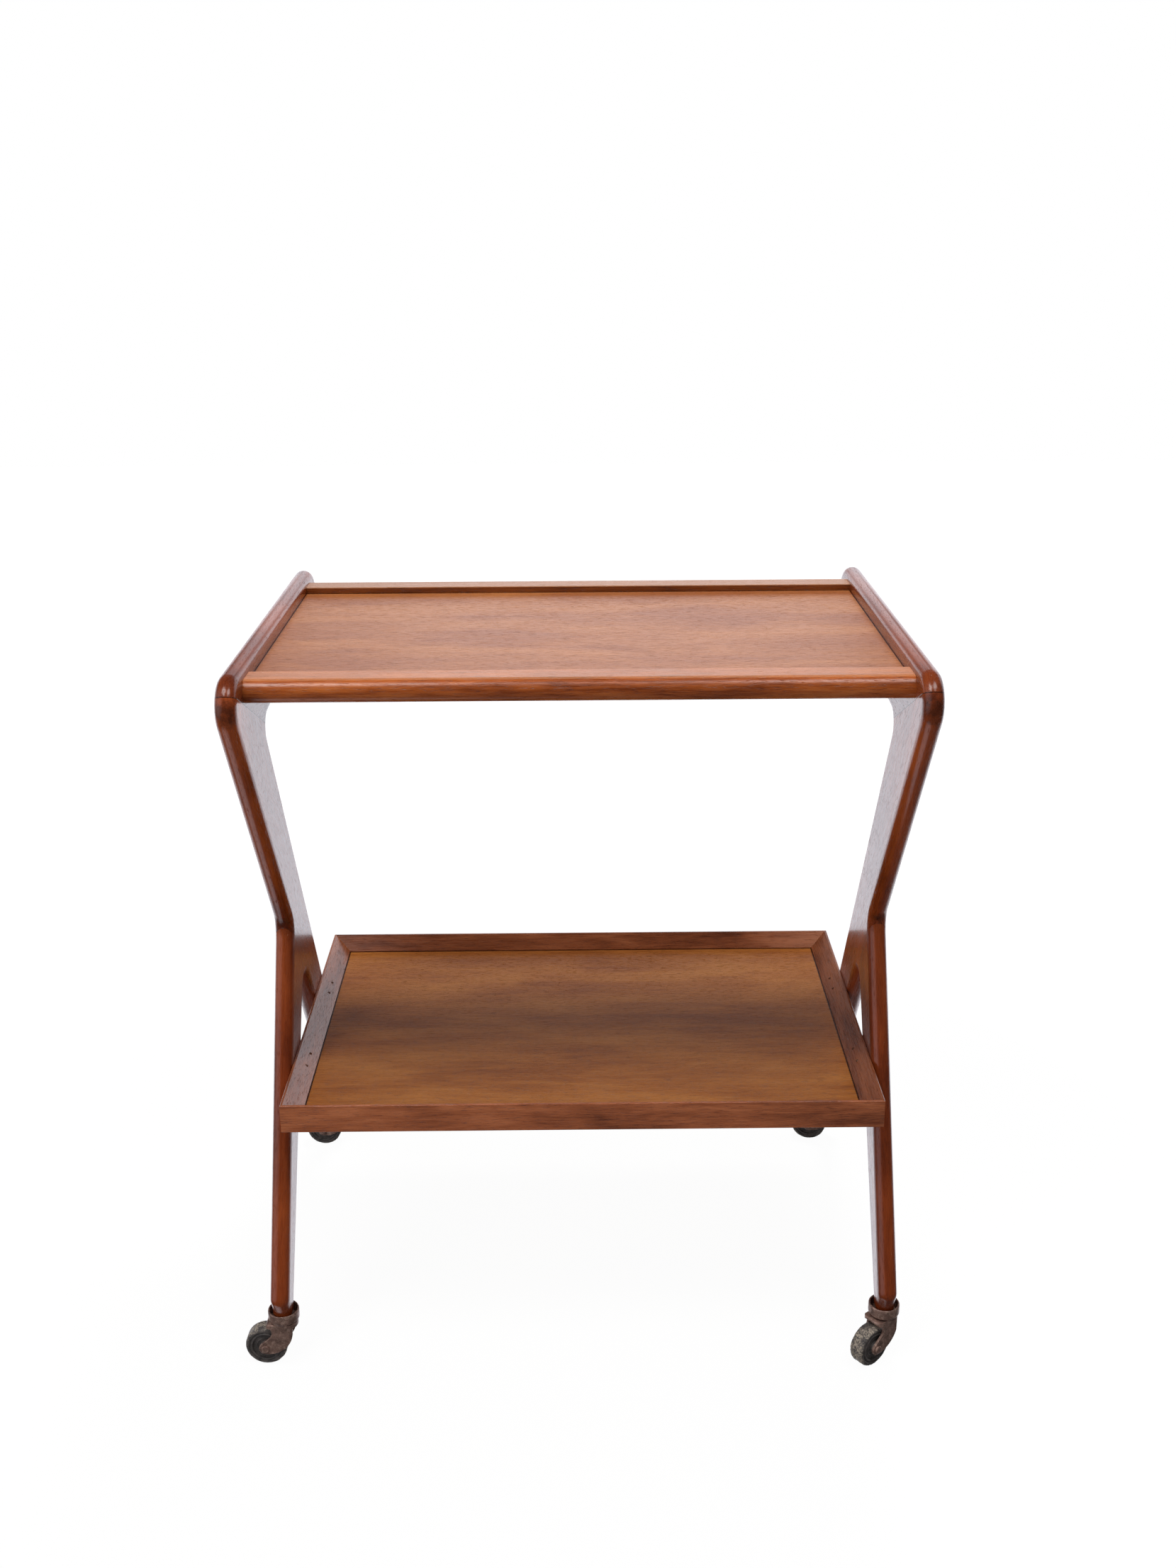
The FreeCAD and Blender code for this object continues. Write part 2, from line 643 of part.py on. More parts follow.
mitre_dowels, knee_dowels, bar_dowels, nails, screws = [], [], [], [], []
NAIL = headed_profile("nail_radius", "nail_head_radius", "nail_head_height", "nail_length")
SCREW = headed_profile("screw_radius", "screw_head_radius", "screw_head_height", "screw_length")
for side, sign in SIDES.items():
    outward = (float(sign), 0, 0)
    inner_face = f"{sign} * inner_width / 2"
    for number in range(2):
        for kind, spot_of, (a, b), held in (
            ("mitre", mitre_dowel_spot, MITRE_ACROSS, mitre_dowels),
            ("knee", knee_dowel_spot, KNEE_ACROSS, knee_dowels),
        ):
            y, z = spot_of(number)
            spot = (f"{sign} * frame_x - middle_x", f"{y} - middle_y", z)
            label = f"{side}_{kind}_dowel_{number}"
            held.append(peg(label, "dowel_radius", "dowel_length", spot, ("0", a, b)))
    for number, (y, z) in enumerate(bar_dowel_spots()):
        middle = f"{sign} * (inner_width / 2 + bar_dowel_depth - bar_dowel_length / 2) - middle_x"
        spot = (middle, f"{y} - middle_y", z)
        bar_dowels.append(
            peg(f"{side}_bar_dowel_{number}", "dowel_radius", "bar_dowel_length", spot, (sign, "0", "0"))
        )
    for number, (y, z) in enumerate(nail_spots()):
        head = f"{inner_face} - {sign} * (nail_cover - nail_sink)"
        nails.append(headed(f"{side}_nail_{number}", NAIL, head, y, z, outward))
    for number, (y, z) in enumerate(cleat_screw_spots()):
        head = f"{inner_face} - {sign} * (cleat_width - screw_sink)"
        screws.append(headed(f"{side}_cleat_screw_{number}", SCREW, head, y, z, outward))
loose_set("mitre_dowels", mitre_dowels)
loose_set("knee_dowels", knee_dowels)
loose_set("top_tray_dowels", bar_dowels)
loose_set("shelf_nails", nails)
loose_set("cleat_screws", screws)

# Top tray. A front and a rear bar, bullnosed outside, with a ledge inside on which the panel lies.
# The section looks along the bar: outside at the left, at across zero, and its underside at zero.

BAR = {
    "nose_foot": ("0", "0"),
    "ledge_foot": ("bar_depth + ledge_width", "0"),
    "ledge_edge": ("bar_depth + ledge_width", "panel_underside - bar_top + bar_height"),
    "ledge_root": ("bar_depth", "panel_underside - bar_top + bar_height"),
    "top_inner": ("bar_depth", "bar_height"),
    "nose_top": ("0", "bar_height"),
}
for end, turn, along in (("front", "0", "tray_setback"), ("rear", "180", "rail_length - tray_setback")):
    bar = new_body(f"top_{end}_rail")
    strip = pad(bar, polygon(bar, "YZ_Plane", f"{end}_bar_section", BAR), "inner_width")
    nose = lambda point: near(point.y, 0) and (near(point.z, 0) or near(point.z, size("bar_height")))
    nosed = fillet(bar, strip, f"{end}_bar_nose", "bar_round", nose)
    arris = lambda point: near(point.y, size("bar_depth")) and near(point.z, size("bar_height"))
    fillet(bar, nosed, f"{end}_bar_arris", "bar_arris", arris)
    for side, sign in SIDES.items():
        for number in range(2):
            bore(
                bar, f"{end}_bar_{side}_hole_{number}", "dowel_radius + dowel_clearance",
                "bar_dowel_length - bar_dowel_depth + dowel_end_gap",
                (
                    f"{sign} * inner_width / 2",
                    f"bar_dowel_inset + {number} * bar_dowel_pitch",
                    "bar_height / 2",
                ),
                (-float(sign), 0, 0),
            )
    place(bar, along=along, up="bar_top - bar_height", turn=turn)


def board(label, width, depth, thickness):
    """A flat rectangular board about its own middle, its underside at zero."""
    corners = {
        "front_left": (f"0 - {width} / 2", f"0 - {depth} / 2"),
        "front_right": (f"{width} / 2", f"0 - {depth} / 2"),
        "back_right": (f"{width} / 2", f"{depth} / 2"),
        "back_left": (f"0 - {width} / 2", f"{depth} / 2"),
    }
    body = new_body(label)
    solid = pad(body, polygon(body, "XY_Plane", label + "_outline", corners), thickness, both_ways=False)
    return body, solid


top_panel, _ = board("top_panel", "panel_width", "panel_depth", "panel_thickness")
place(top_panel, along="rail_length / 2", up="panel_underside")

for side, sign in SIDES.items():
    cleat, solid = board(f"top_{side}_cleat", "cleat_width", "cleat_length", "cleat_height")
    inside = size(f"0 - {sign} * cleat_width / 2")
    lower_inner = lambda point: near(point.x, inside) and near(point.z, 0)
    fillet(cleat, solid, f"{side}_cleat_arris", "cleat_arris", lower_inner)
    for number, (y, _) in enumerate(cleat_screw_spots()):
        along = f"{y} - rail_length / 2"
        start = f"{sign} * (0 - cleat_width / 2)"
        outward = (float(sign), 0, 0)
        spot = (start, along, "cleat_height / 2")
        bore(cleat, f"{side}_cleat_bore_{number}", "screw_radius", "cleat_width", spot, outward)
        sink = cleat.newObject("PartDesign::SubtractiveCone", f"{side}_cleat_sink_{number}")
        sink.Placement = FreeCAD.Placement(
            FreeCAD.Vector(), FreeCAD.Rotation(FreeCAD.Vector(0, 0, 1), FreeCAD.Vector(*outward))
        )
        flare = "(screw_head_radius - screw_radius) / screw_head_height"
        bind(
            sink,
            Radius1=f"screw_head_radius + screw_sink * {flare}",
            Radius2="screw_radius",
            Height="screw_head_height + screw_sink",
            Placement__Base__x=start,
            Placement__Base__y=along,
            Placement__Base__z="cleat_height / 2",
        )
        doc.recompute()
    place(
        cleat, across=f"{sign} * (inner_width - cleat_width) / 2",
        along="rail_length / 2", up="panel_underside - cleat_height",
    )

# Lower tray. Four lengths of one moulding, mitred at the corners: a plain outer face, a thin top
# edge, a face that slopes down and inward, and a ledge under it on which the panel lies.

MOULDING = {
    "outer_foot": ("0", "0"),
    "ledge_foot": ("moulding_width + ledge_width", "0"),
    "ledge_edge": ("moulding_width + ledge_width", "shelf_panel_top - panel_thickness - shelf_bottom"),
    "ledge_root": ("moulding_width", "shelf_panel_top - panel_thickness - shelf_bottom"),
    "slope_foot": ("moulding_width", "shelf_panel_top - shelf_bottom + moulding_step"),
    "lip": ("moulding_lip", "moulding_height"),
    "outer_top": ("0", "moulding_height"),
}


def mitre_waste(length, end):
    """The triangle that a mitre takes off one end of a moulding, seen from above."""
    tip = f"{end} * {length} / 2"
    past = "(moulding_width + ledge_width + overrun)"
    return {
        "tip": (tip, "0"),
        "inner": (f"{tip} - {end} * {past}", past),
        "outer": (f"{tip} + {end} * overrun", past),
        "front": (f"{tip} + {end} * overrun", "0 - overrun"),
        "tip_front": (tip, "0 - overrun"),
    }


def moulding(label, length, along, across, turn):
    body = new_body(label)
    strip = pad(body, polygon(body, "YZ_Plane", label + "_section", MOULDING), length)
    upper = size("moulding_height")
    corner = lambda point: near(point.y, 0) and (near(point.z, upper) or near(point.z, 0))
    fillet(body, strip, label + "_arris", "moulding_arris", corner)
    for name, end in (("low", "-1"), ("high", "1")):
        pocket(body, polygon(body, "XY_Plane", f"{label}_{name}_mitre", mitre_waste(length, end)))
    place(body, across=across, along=along, up="shelf_bottom", turn=turn)
    return body


SHELF_MIDDLE = "(shelf_setback + shelf_depth / 2)"
moulding("shelf_front_rail", "inner_width", "shelf_setback", "0", "0")
moulding("shelf_rear_rail", "inner_width", "shelf_setback + shelf_depth", "0", "180")
for side, sign, turn in (("left", "-1", "270"), ("right", "1", "90")):
    strip = moulding(f"shelf_{side}_rail", "shelf_depth", SHELF_MIDDLE, f"{sign} * inner_width / 2", turn)
    for number, (y, z) in enumerate(nail_spots()):
        # along the strip as it lies before it is turned, outward being its own front
        run = f"{sign} * ({y} - {SHELF_MIDDLE})"
        spot = (run, "nail_cover", f"{z} - shelf_bottom")
        bore(strip, f"{side}_shelf_nail_hole_{number}", "nail_radius", "nail_cover", spot, (0, -1, 0))
        spot = (run, "nail_cover + nail_sink", f"{z} - shelf_bottom")
        bore(
            strip, f"{side}_shelf_nail_sink_{number}", "nail_head_radius",
            "nail_sink + nail_sink + nail_head_height", spot, (0, -1, 0),
        )

shelf_panel, _ = board("shelf_panel", "shelf_panel_width", "shelf_panel_depth", "panel_thickness")
place(shelf_panel, along=SHELF_MIDDLE, up="shelf_panel_top - panel_thickness")

# Castors. Drawn trailing along X with the upright axis through the origin, then turned to stand as
# they were left. A cup on the foot, a pin up into the leg, a fork with two cheeks, an axle, a wheel.


def arc_outline(body, plane, label, corners, arcs):
    """A closed outline. Each side named in arcs is an arc with a radius, turning left or right."""
    sketch = new_sketch(body, plane, label)
    points = [FreeCAD.Vector(size(a), size(b), 0) for a, b in corners.values()]
    following = points[1:] + points[:1]
    upright = FreeCAD.Vector(0, 0, 1)
    ends = []
    for name, here, there in zip(corners, points, following):
        if name not in arcs:
            sketch.addGeometry(Part.LineSegment(here, there), False)
            ends.append((1, 2))
            continue
        text, turn = arcs[name]
        radius = size(text)
        chord = there - here
        aside = upright.cross(chord).normalize() * (radius ** 2 - chord.Length ** 2 / 4) ** 0.5
        first, last = (here, there) if turn == "left" else (there, here)
        centre = (here + there) / 2 + (aside if turn == "left" else -aside)
        start = math.atan2(first.y - centre.y, first.x - centre.x)
        sweep = 2 * math.asin(chord.Length / 2 / radius)
        circle = Part.Circle(centre, upright, radius)
        sketch.addGeometry(Part.ArcOfCircle(circle, start, start + sweep), False)
        ends.append((1, 2) if turn == "left" else (2, 1))
    count = len(points)
    for edge in range(count):
        after = (edge + 1) % count
        sketch.addConstraint(Sketcher.Constraint("Coincident", edge, ends[edge][1], after, ends[after][0]))
    for edge, name in enumerate(corners):
        pin_point(sketch, edge, ends[edge][0], corners[name], name)
    for edge, name in enumerate(corners):
        if name in arcs:
            radius = arcs[name][0]
            index = sketch.addConstraint(Sketcher.Constraint("Radius", edge, size(radius)))
            sketch.renameConstraint(index, name + "_radius")
            sketch.setExpression(f"Constraints.{name}_radius", formula(radius))
    return sketch


FORK_PLAN = {
    "back_left": ("0 - sqrt(back_radius ^ 2 - fork_half ^ 2)", "fork_half"),
    "back_right": ("0 - sqrt(back_radius ^ 2 - fork_half ^ 2)", "0 - fork_half"),
    "front_right": ("trail + cheek_end_radius + overrun", "0 - fork_half"),
    "front_left": ("trail + cheek_end_radius + overrun", "fork_half"),
}
# What is cut away below and in front of a fork, as seen from its side.
FORK_WASTE = {
    "back": ("0 - overrun", "plate_underside"),
    "cheek_root": ("0 - cheek_back", "plate_underside"),
    "heel": ("0 - cheek_back", "wheel_radius + cheek_rise"),
    "heel_end": (
        "trail + cheek_share * (trail + cheek_back - cheek_radius)",
        "wheel_radius - cheek_share * cheek_rise",
    ),
    "end_top": (
        "trail - cheek_end_radius * sin(cheek_turn)",
        "wheel_radius + cheek_end_radius * cos(cheek_turn)",
    ),
    "hollow_low": (
        "hollow_reach + hollow_radius * sin(cheek_turn)",
        "hollow_height - hollow_radius * cos(cheek_turn)",
    ),
    "hollow_high": ("hollow_top", "plate_underside"),
    "lip_low": ("plate_reach", "plate_underside"),
    "lip_nose": ("lip_end", "plate_underside + plate_thickness / 2"),
    "lip_high": ("plate_reach", "plate_top"),
    "high_back": ("plate_reach", "plate_top + overrun"),
    "high": ("trail + wheel_radius + 2 * overrun", "plate_top + overrun"),
    "low": ("trail + wheel_radius + 2 * overrun", "0 - overrun"),
    "low_back": ("0 - overrun", "0 - overrun"),
}
FORK_ARCS = {
    "heel": ("cheek_radius", "left"),
    "heel_end": ("cheek_end_radius", "left"),
    "hollow_low": ("hollow_radius", "right"),
    "lip_low": ("plate_thickness / 2", "left"),
    "lip_nose": ("plate_thickness / 2", "left"),
}
SLOT = {
    "low_right": ("0 - slot_half", "0 - overrun"),
    "low_left": ("slot_half", "0 - overrun"),
    "high_left": ("slot_half", "plate_underside"),
    "high_right": ("0 - slot_half", "plate_underside"),
}


def corner_waste(hand):
    """What rounds one corner of the fork's lip, seen from above."""
    return {
        "side": ("lip_end - plate_corner", f"{hand} * fork_half"),
        "front": ("lip_end", f"{hand} * (fork_half - plate_corner)"),
        "far_front": ("lip_end + overrun", f"{hand} * (fork_half - plate_corner)"),
        "far_corner": ("lip_end + overrun", f"{hand} * (fork_half + overrun)"),
        "far_side": ("lip_end - plate_corner", f"{hand} * (fork_half + overrun)"),
    }


def fork(label):
    body = new_body(label)
    back = {"back_left": ("back_radius", "left")}
    plan = arc_outline(body, "XY_Plane", label + "_plan", FORK_PLAN, back)
    pad(body, plan, "plate_top", both_ways=False)
    pocket(body, arc_outline(body, "XZ_Plane", label + "_side", FORK_WASTE, FORK_ARCS))
    slotted = pocket(body, polygon(body, "YZ_Plane", label + "_slot", SLOT))
    side, under = size("fork_half"), size("plate_underside")
    cheek_edge = lambda point: near(abs(point.y), side) and point.z < under + side / 1000
    fillet(body, slotted, label + "_cheek_arris", "cheek_arris", cheek_edge)
    for name, hand, turning in (("left", "1", "right"), ("right", "-1", "left")):
        corner = corner_waste(hand)
        arcs = {"side": ("plate_corner", turning)}
        sketch = arc_outline(body, "XY_Plane", f"{label}_{name}_corner", corner, arcs)
        sketch.setExpression("AttachmentOffset.Base.z", formula("plate_top"))
        cut = body.newObject("PartDesign::Pocket", f"{label}_{name}_corner_cut")
        cut.Profile = sketch
        cut.SideType = "One side"
        bind(cut, Length="plate_thickness")
        doc.recompute()
    top, reach = size("plate_top"), size("plate_reach")
    plate_edge = lambda point: near(point.z, top) and point.x < reach
    fillet(body, cut, label + "_plate_arris", "cheek_arris", plate_edge)
    bore(body, label + "_pin_hole", "pin_radius + running_fit", "plate_top", ("0", "0", "0"), (0, 0, 1))
    across = ("trail", "0 - fork_half", "wheel_radius")
    bore(body, label + "_axle_hole", "axle_radius", "2 * fork_half", across, (0, 1, 0))
    return body


CUP = {
    "bore_low": ("pin_radius", "cup_underside"),
    "base": ("cup_base_radius", "cup_underside"),
    "bevel": ("cup_radius", "cup_underside + cup_bevel"),
    "wall_top": ("cup_radius", "cup_rim - cup_lip"),
    "lip_out": ("cup_radius - cup_lip", "cup_rim"),
    "lip_in": ("cup_radius - cup_wall", "cup_rim"),
    "floor": ("cup_radius - cup_wall", "cup_inside"),
    "bore_high": ("pin_radius", "cup_inside"),
}
KINGPIN = {
    "foot": ("0", "pin_foot"),
    "head_low": ("pin_head_radius", "pin_foot"),
    "head_high": ("pin_head_radius", "pin_foot + pin_head_height"),
    "shank_low": ("pin_radius", "pin_foot + pin_head_height"),
    "shank_high": ("pin_radius", "cup_inside"),
    "screw_low": ("pin_screw_radius", "cup_inside"),
    "screw_high": ("pin_screw_radius", "cup_inside + pin_screw_length - pin_point"),
    "tip": ("0", "cup_inside + pin_screw_length"),
}


def mirrored(half):
    """A section that is the same on both sides of its middle, from the places of one side."""
    other = {"far_" + name: ("0 - (" + a + ")", b) for name, (a, b) in reversed(half.items())}
    return {**half, **other}


AXLE = mirrored({
    "head_middle": ("fork_half + rivet_height", "0"),
    "head_outer": ("fork_half + rivet_height", "rivet_radius"),
    "head_inner": ("fork_half", "rivet_radius"),
    "pin": ("fork_half", "axle_radius"),
})
WHEEL = mirrored({
    "bore": ("hub_half", "axle_radius + running_fit"),
    "hub": ("hub_half", "hub_radius"),
    "web_in": ("wheel_width / 2 - web_depth", "hub_radius"),
    "web_out": ("wheel_width / 2 - web_depth", "rim_radius - groove_width - ridge_width"),
    "ridge_in": ("wheel_width / 2", "rim_radius - groove_width - ridge_width"),
    "ridge_out": ("wheel_width / 2", "rim_radius - groove_width"),
    "groove_in": ("wheel_width / 2 - groove_depth", "rim_radius - groove_width"),
    "groove_out": ("wheel_width / 2 - groove_depth", "rim_radius"),
    "rim": ("wheel_width / 2", "rim_radius"),
    "tread": ("wheel_width / 2", "wheel_radius"),
})

CASTORS = {
    "front_left": ("-1", "castor_setback"),
    "front_right": ("1", "castor_setback"),
    "rear_left": ("-1", "rear_castor_y"),
    "rear_right": ("1", "rear_castor_y"),
}
for corner, (sign, along) in CASTORS.items():
    turn = corner + "_heading"
    across = f"{sign} * frame_x"

    cup = new_body(corner + "_cup")
    revolve(cup, polygon(cup, "XZ_Plane", corner + "_cup_section", CUP), "V_Axis")
    kingpin = new_body(corner + "_kingpin")
    revolve(kingpin, polygon(kingpin, "XZ_Plane", corner + "_kingpin_section", KINGPIN), "V_Axis")
    for piece in (cup, kingpin):
        place(piece, across=across, along=along)

    place(fork(corner + "_fork"), across=across, along=along, turn=turn)

    axle = new_body(corner + "_axle")
    pin = revolve(axle, polygon(axle, "YZ_Plane", corner + "_axle_section", AXLE), "H_Axis")
    head = size("fork_half + rivet_height")
    rim = lambda point: near(abs(point.y), head)
    fillet(axle, pin, corner + "_rivet_round", "rivet_round", rim)
    wheel = new_body(corner + "_wheel")
    disc = revolve(wheel, polygon(wheel, "YZ_Plane", corner + "_wheel_section", WHEEL), "H_Axis")
    reach = size("wheel_radius")
    tread = lambda point: near((point.y ** 2) ** 0.5, size("wheel_width / 2")) and (
        near((point.x ** 2 + point.z ** 2) ** 0.5, reach)
    )
    fillet(wheel, disc, corner + "_tread_round", "tread_radius", tread)
    for piece in (axle, wheel):
        place(
            piece, across=f"{across} + trail * cos({turn})",
            along=f"{along} + trail * sin({turn})", up="wheel_radius", turn=turn,
        )

# Every object must be sound before anything is written.

doc.recompute()
for thing in doc.Objects:
    if "Invalid" in thing.State or "Error" in thing.State:
        raise RuntimeError(thing.Name + " is not sound")
pieces = [
    thing for thing in doc.Objects
    if thing.TypeId == "Part::Compound"
    or (thing.TypeId == "PartDesign::Body" and thing != blank and thing not in nails + screws)
]
os.makedirs("parts", exist_ok=True)
for piece in pieces:
    if piece.Shape.isNull() or not piece.Shape.isValid():
        raise RuntimeError(piece.Label + " is not valid")
    piece.Shape.exportStep(f"parts/{piece.Label}.step")
print(len(pieces), "pieces written")
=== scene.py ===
import math

import bmesh
import bpy
import numpy as np
from mathutils import Matrix, Vector


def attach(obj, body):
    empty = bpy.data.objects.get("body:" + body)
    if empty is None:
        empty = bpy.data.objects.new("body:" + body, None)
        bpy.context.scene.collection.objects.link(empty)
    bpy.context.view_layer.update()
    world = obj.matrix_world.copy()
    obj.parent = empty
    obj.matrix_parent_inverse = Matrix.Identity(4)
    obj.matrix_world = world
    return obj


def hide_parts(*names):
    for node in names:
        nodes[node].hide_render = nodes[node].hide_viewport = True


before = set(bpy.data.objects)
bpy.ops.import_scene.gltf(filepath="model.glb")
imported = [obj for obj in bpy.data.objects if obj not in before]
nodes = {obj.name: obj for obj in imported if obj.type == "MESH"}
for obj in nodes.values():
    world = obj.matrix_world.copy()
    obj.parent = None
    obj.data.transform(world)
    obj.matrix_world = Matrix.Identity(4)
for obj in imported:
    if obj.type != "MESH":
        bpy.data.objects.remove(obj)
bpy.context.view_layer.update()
MM = 0.001

# End frames. Each is three boards of red-brown hardwood, a top rail, a long slanting rear leg and a
# short front leg, doweled and glued at the top corner's mitre and at the knee. The frame's edges were
# rounded over after gluing, and it has a thin satin polish.


def wire(tree, *pairs):
    """Joins sockets of a node tree, each pair given as (from, to)."""
    for source, target in pairs:
        tree.links.new(source, target)


def bare_material(name):
    """A material with its node tree, its main shader and its object coordinates."""
    material = bpy.data.materials.new(name)
    material.use_nodes = True
    tree = material.node_tree
    shader = tree.nodes["Principled BSDF"]
    place = tree.nodes.new("ShaderNodeTexCoord").outputs["Object"]
    return material, tree, shader, place


def stretched(tree, place, turn, shift, scale):
    """Object coordinates moved and turned so that the grain runs along X, then stretched."""
    turned = tree.nodes.new("ShaderNodeMapping")
    turned.inputs["Location"].default_value = shift
    turned.inputs["Rotation"].default_value = turn
    sized = tree.nodes.new("ShaderNodeMapping")
    sized.inputs["Scale"].default_value = scale
    wire(tree, (place, turned.inputs["Vector"]), (turned.outputs["Vector"], sized.inputs["Vector"]))
    return sized.outputs["Vector"]


def noise(tree, vector, scale, detail=3.0, roughness=0.55, distortion=0.0):
    """A grey noise between 0 and 1 at a number of lumps in a metre."""
    node = tree.nodes.new("ShaderNodeTexNoise")
    for socket, value in (
        ("Scale", scale), ("Detail", detail), ("Roughness", roughness), ("Distortion", distortion),
    ):
        node.inputs[socket].default_value = value
    wire(tree, (vector, node.inputs["Vector"]))
    return node.outputs["Fac"]


def ramp(tree, value, *stops):
    """Colours or greys between stops, each given as (place, colour)."""
    node = tree.nodes.new("ShaderNodeValToRGB")
    points = node.color_ramp.elements
    while len(points) < len(stops):
        points.new(0.5)
    for point, (at, colour) in zip(points, stops):
        point.position = at
        point.color = (*colour, 1) if isinstance(colour, tuple) else (colour, colour, colour, 1)
    wire(tree, (value, node.inputs["Fac"]))
    return node.outputs["Color"]


def sums(tree, *terms, start=0.0):
    """The sum of grey values, each given as (value, weight), and a start value."""
    total = None
    for value, weight in terms:
        node = tree.nodes.new("ShaderNodeMath")
        node.operation = "MULTIPLY_ADD"
        node.inputs[1].default_value = weight
        node.inputs[2].default_value = start
        wire(tree, (value, node.inputs[0]))
        if total is not None:
            wire(tree, (total, node.inputs[2]))
        total = node.outputs["Value"]
    return total


def combined(tree, operation, first, second):
    """Two grey values put together by one operation, such as MULTIPLY."""
    node = tree.nodes.new("ShaderNodeMath")
    node.operation = operation
    for socket, value in zip(node.inputs, (first, second)):
        if isinstance(value, (int, float)):
            socket.default_value = value
        else:
            wire(tree, (value, socket))
    return node.outputs["Value"]


def mixed(tree, mode, share, first, second):
    """Two colours mixed by a share, which is a number or a grey value."""
    node = tree.nodes.new("ShaderNodeMix")
    node.data_type = "RGBA"
    node.blend_type = mode
    for socket, value in ((node.inputs["Factor"], share), (node.inputs[6], first), (node.inputs[7], second)):
        if isinstance(value, (int, float)):
            socket.default_value = value
        elif isinstance(value, tuple):
            socket.default_value = (*value, 1)
        else:
            wire(tree, (value, socket))
    return node.outputs[2]


def bumped(tree, shader, height, strength, distance):
    """Raises a shader's surface by a grey height."""
    node = tree.nodes.new("ShaderNodeBump")
    node.inputs["Strength"].default_value = strength
    node.inputs["Distance"].default_value = distance
    wire(tree, (height, node.inputs["Height"]), (node.outputs["Normal"], shader.inputs["Normal"]))


def plane_band(tree, place, lines):
    """A grey that is 1 on some planes and falls to 0 beside them, each plane given as its normal, its
    distance from the origin and how far its band reaches."""
    axes = tree.nodes.new("ShaderNodeSeparateXYZ")
    wire(tree, (place, axes.inputs["Vector"]))
    dirt = 0.0
    for normal, at, reach in lines:
        along = sums(tree, *zip((axes.outputs[axis] for axis in "XYZ"), normal), start=-at)
        away = combined(tree, "ABSOLUTE", along, 0)
        share = combined(tree, "DIVIDE", away, reach)
        dirt = combined(tree, "MAXIMUM", ramp(tree, share, (0.45, 1.0), (1.0, 0.0)), dirt)
    return dirt


def spot_mask(tree, place, spots):
    """A grey that is 1 on some spots and falls to 0 at their reach, each given as a place and a reach
    in mm, with an edge that wanders."""
    ragged = noise(tree, place, 160, 4, 0.6)
    dirt = 0.0
    for spot, reach in spots:
        away = tree.nodes.new("ShaderNodeVectorMath")
        away.operation = "DISTANCE"
        away.inputs[1].default_value = np.array(spot) * MM
        wire(tree, (place, away.inputs[0]))
        share = sums(tree, (away.outputs["Value"], 1 / (reach * MM)), (ragged, 1.2), start=-0.6)
        dirt = combined(tree, "MAXIMUM", ramp(tree, share, (0.35, 1.0), (1.0, 0.0)), dirt)
    return dirt


# What the wood's tone is multiplied by in its pores, in the dirt and painted shade of its joints, and in its
# dark spots.
PORE_TINT = (0.30, 0.22, 0.20)
JOINT_DIRT_AND_SHADE_TINT = (0.10, 0.08, 0.08)
SPOT_TINT = (0.30, 0.30, 0.36)
# What the wood is painted towards where a painted reflection lightens it, and what it turns to where its
# finish is chipped.
PAINTED_SHEEN = (0.68, 0.34, 0.17)
CHIPPED = (0.62, 0.45, 0.34)
SKIN_DEPTH = 0.35 * MM


def timber(
    name, turn, shift, dark, middle, light,
    clouds=0.35, pores=0.55, polish=0.4, shine=0.5, relief=0.7,
    lines=(), dark_spots=(), flecks=0.0, sheen_planes=(),
):
    """Polished hardwood. Cloudy patches, growth bands and fine fibres set the tone, short pores are
    dark pits that also break the polish, dirt and painted shade darken some lines, some spots are
    darker, partly as painted shade, small pale flecks are chipped out of the finish, and a painted
    reflection lightens the wood by a share on some planes."""
    material, tree, shader, place = bare_material(name)
    cloud = noise(tree, stretched(tree, place, turn, shift, (1, 3.2, 3.2)), 5.5, 4, 0.55, 0.5)
    broad = noise(tree, stretched(tree, place, turn, shift, (1, 10, 10)), 9, 3, 0.6, 0.8)
    fibre = noise(tree, stretched(tree, place, turn, shift, (1, 22, 22)), 38, 4, 0.65, 0.15)
    tone = sums(tree, (cloud, clouds), (broad, 0.55 - clouds / 2), (fibre, 0.45 - clouds / 2))
    colour = ramp(tree, tone, (0.40, dark), (0.5, middle), (0.61, light))
    dashes = noise(tree, stretched(tree, place, turn, shift, (1, 12, 12)), 120, 2, 0.5)
    pits = ramp(tree, dashes, (0.60, 0.0), (0.68, 1.0))
    pitted = mixed(tree, "MULTIPLY", sums(tree, (pits, pores)), colour, PORE_TINT)
    # Dirt and painted shade along the joints.
    if lines:
        pitted = mixed(tree, "MULTIPLY", plane_band(tree, place, lines), pitted, JOINT_DIRT_AND_SHADE_TINT)
    # Darker spots, partly painted shade.
    if dark_spots:
        pitted = mixed(tree, "MULTIPLY", spot_mask(tree, place, dark_spots), pitted, SPOT_TINT)
    # A painted reflection, lightening the wood on some planes.
    if sheen_planes:
        planes, share = sheen_planes
        sheen_share = sums(tree, (plane_band(tree, place, planes), share))
        pitted = mixed(tree, "MIX", sheen_share, pitted, PAINTED_SHEEN)
    if flecks:
        chips = ramp(tree, noise(tree, place, 210, 5, 0.6), (0.72, 0.0), (0.75, flecks))
        pitted = mixed(tree, "MIX", chips, pitted, CHIPPED)
    wire(tree, (pitted, shader.inputs["Base Color"]))
    wire(tree, (ramp(tree, fibre, (0.35, 0.24), (0.65, 0.34)), shader.inputs["Roughness"]))
    shader.inputs["Specular IOR Level"].default_value = shine
    if polish:
        wire(tree, (sums(tree, (pits, -polish), start=polish), shader.inputs["Coat Weight"]))
        shader.inputs["Coat Roughness"].default_value = 0.17
    bumped(tree, shader, sums(tree, (pits, -1.6), (fibre, 0.25)), relief, SKIN_DEPTH)
    return material


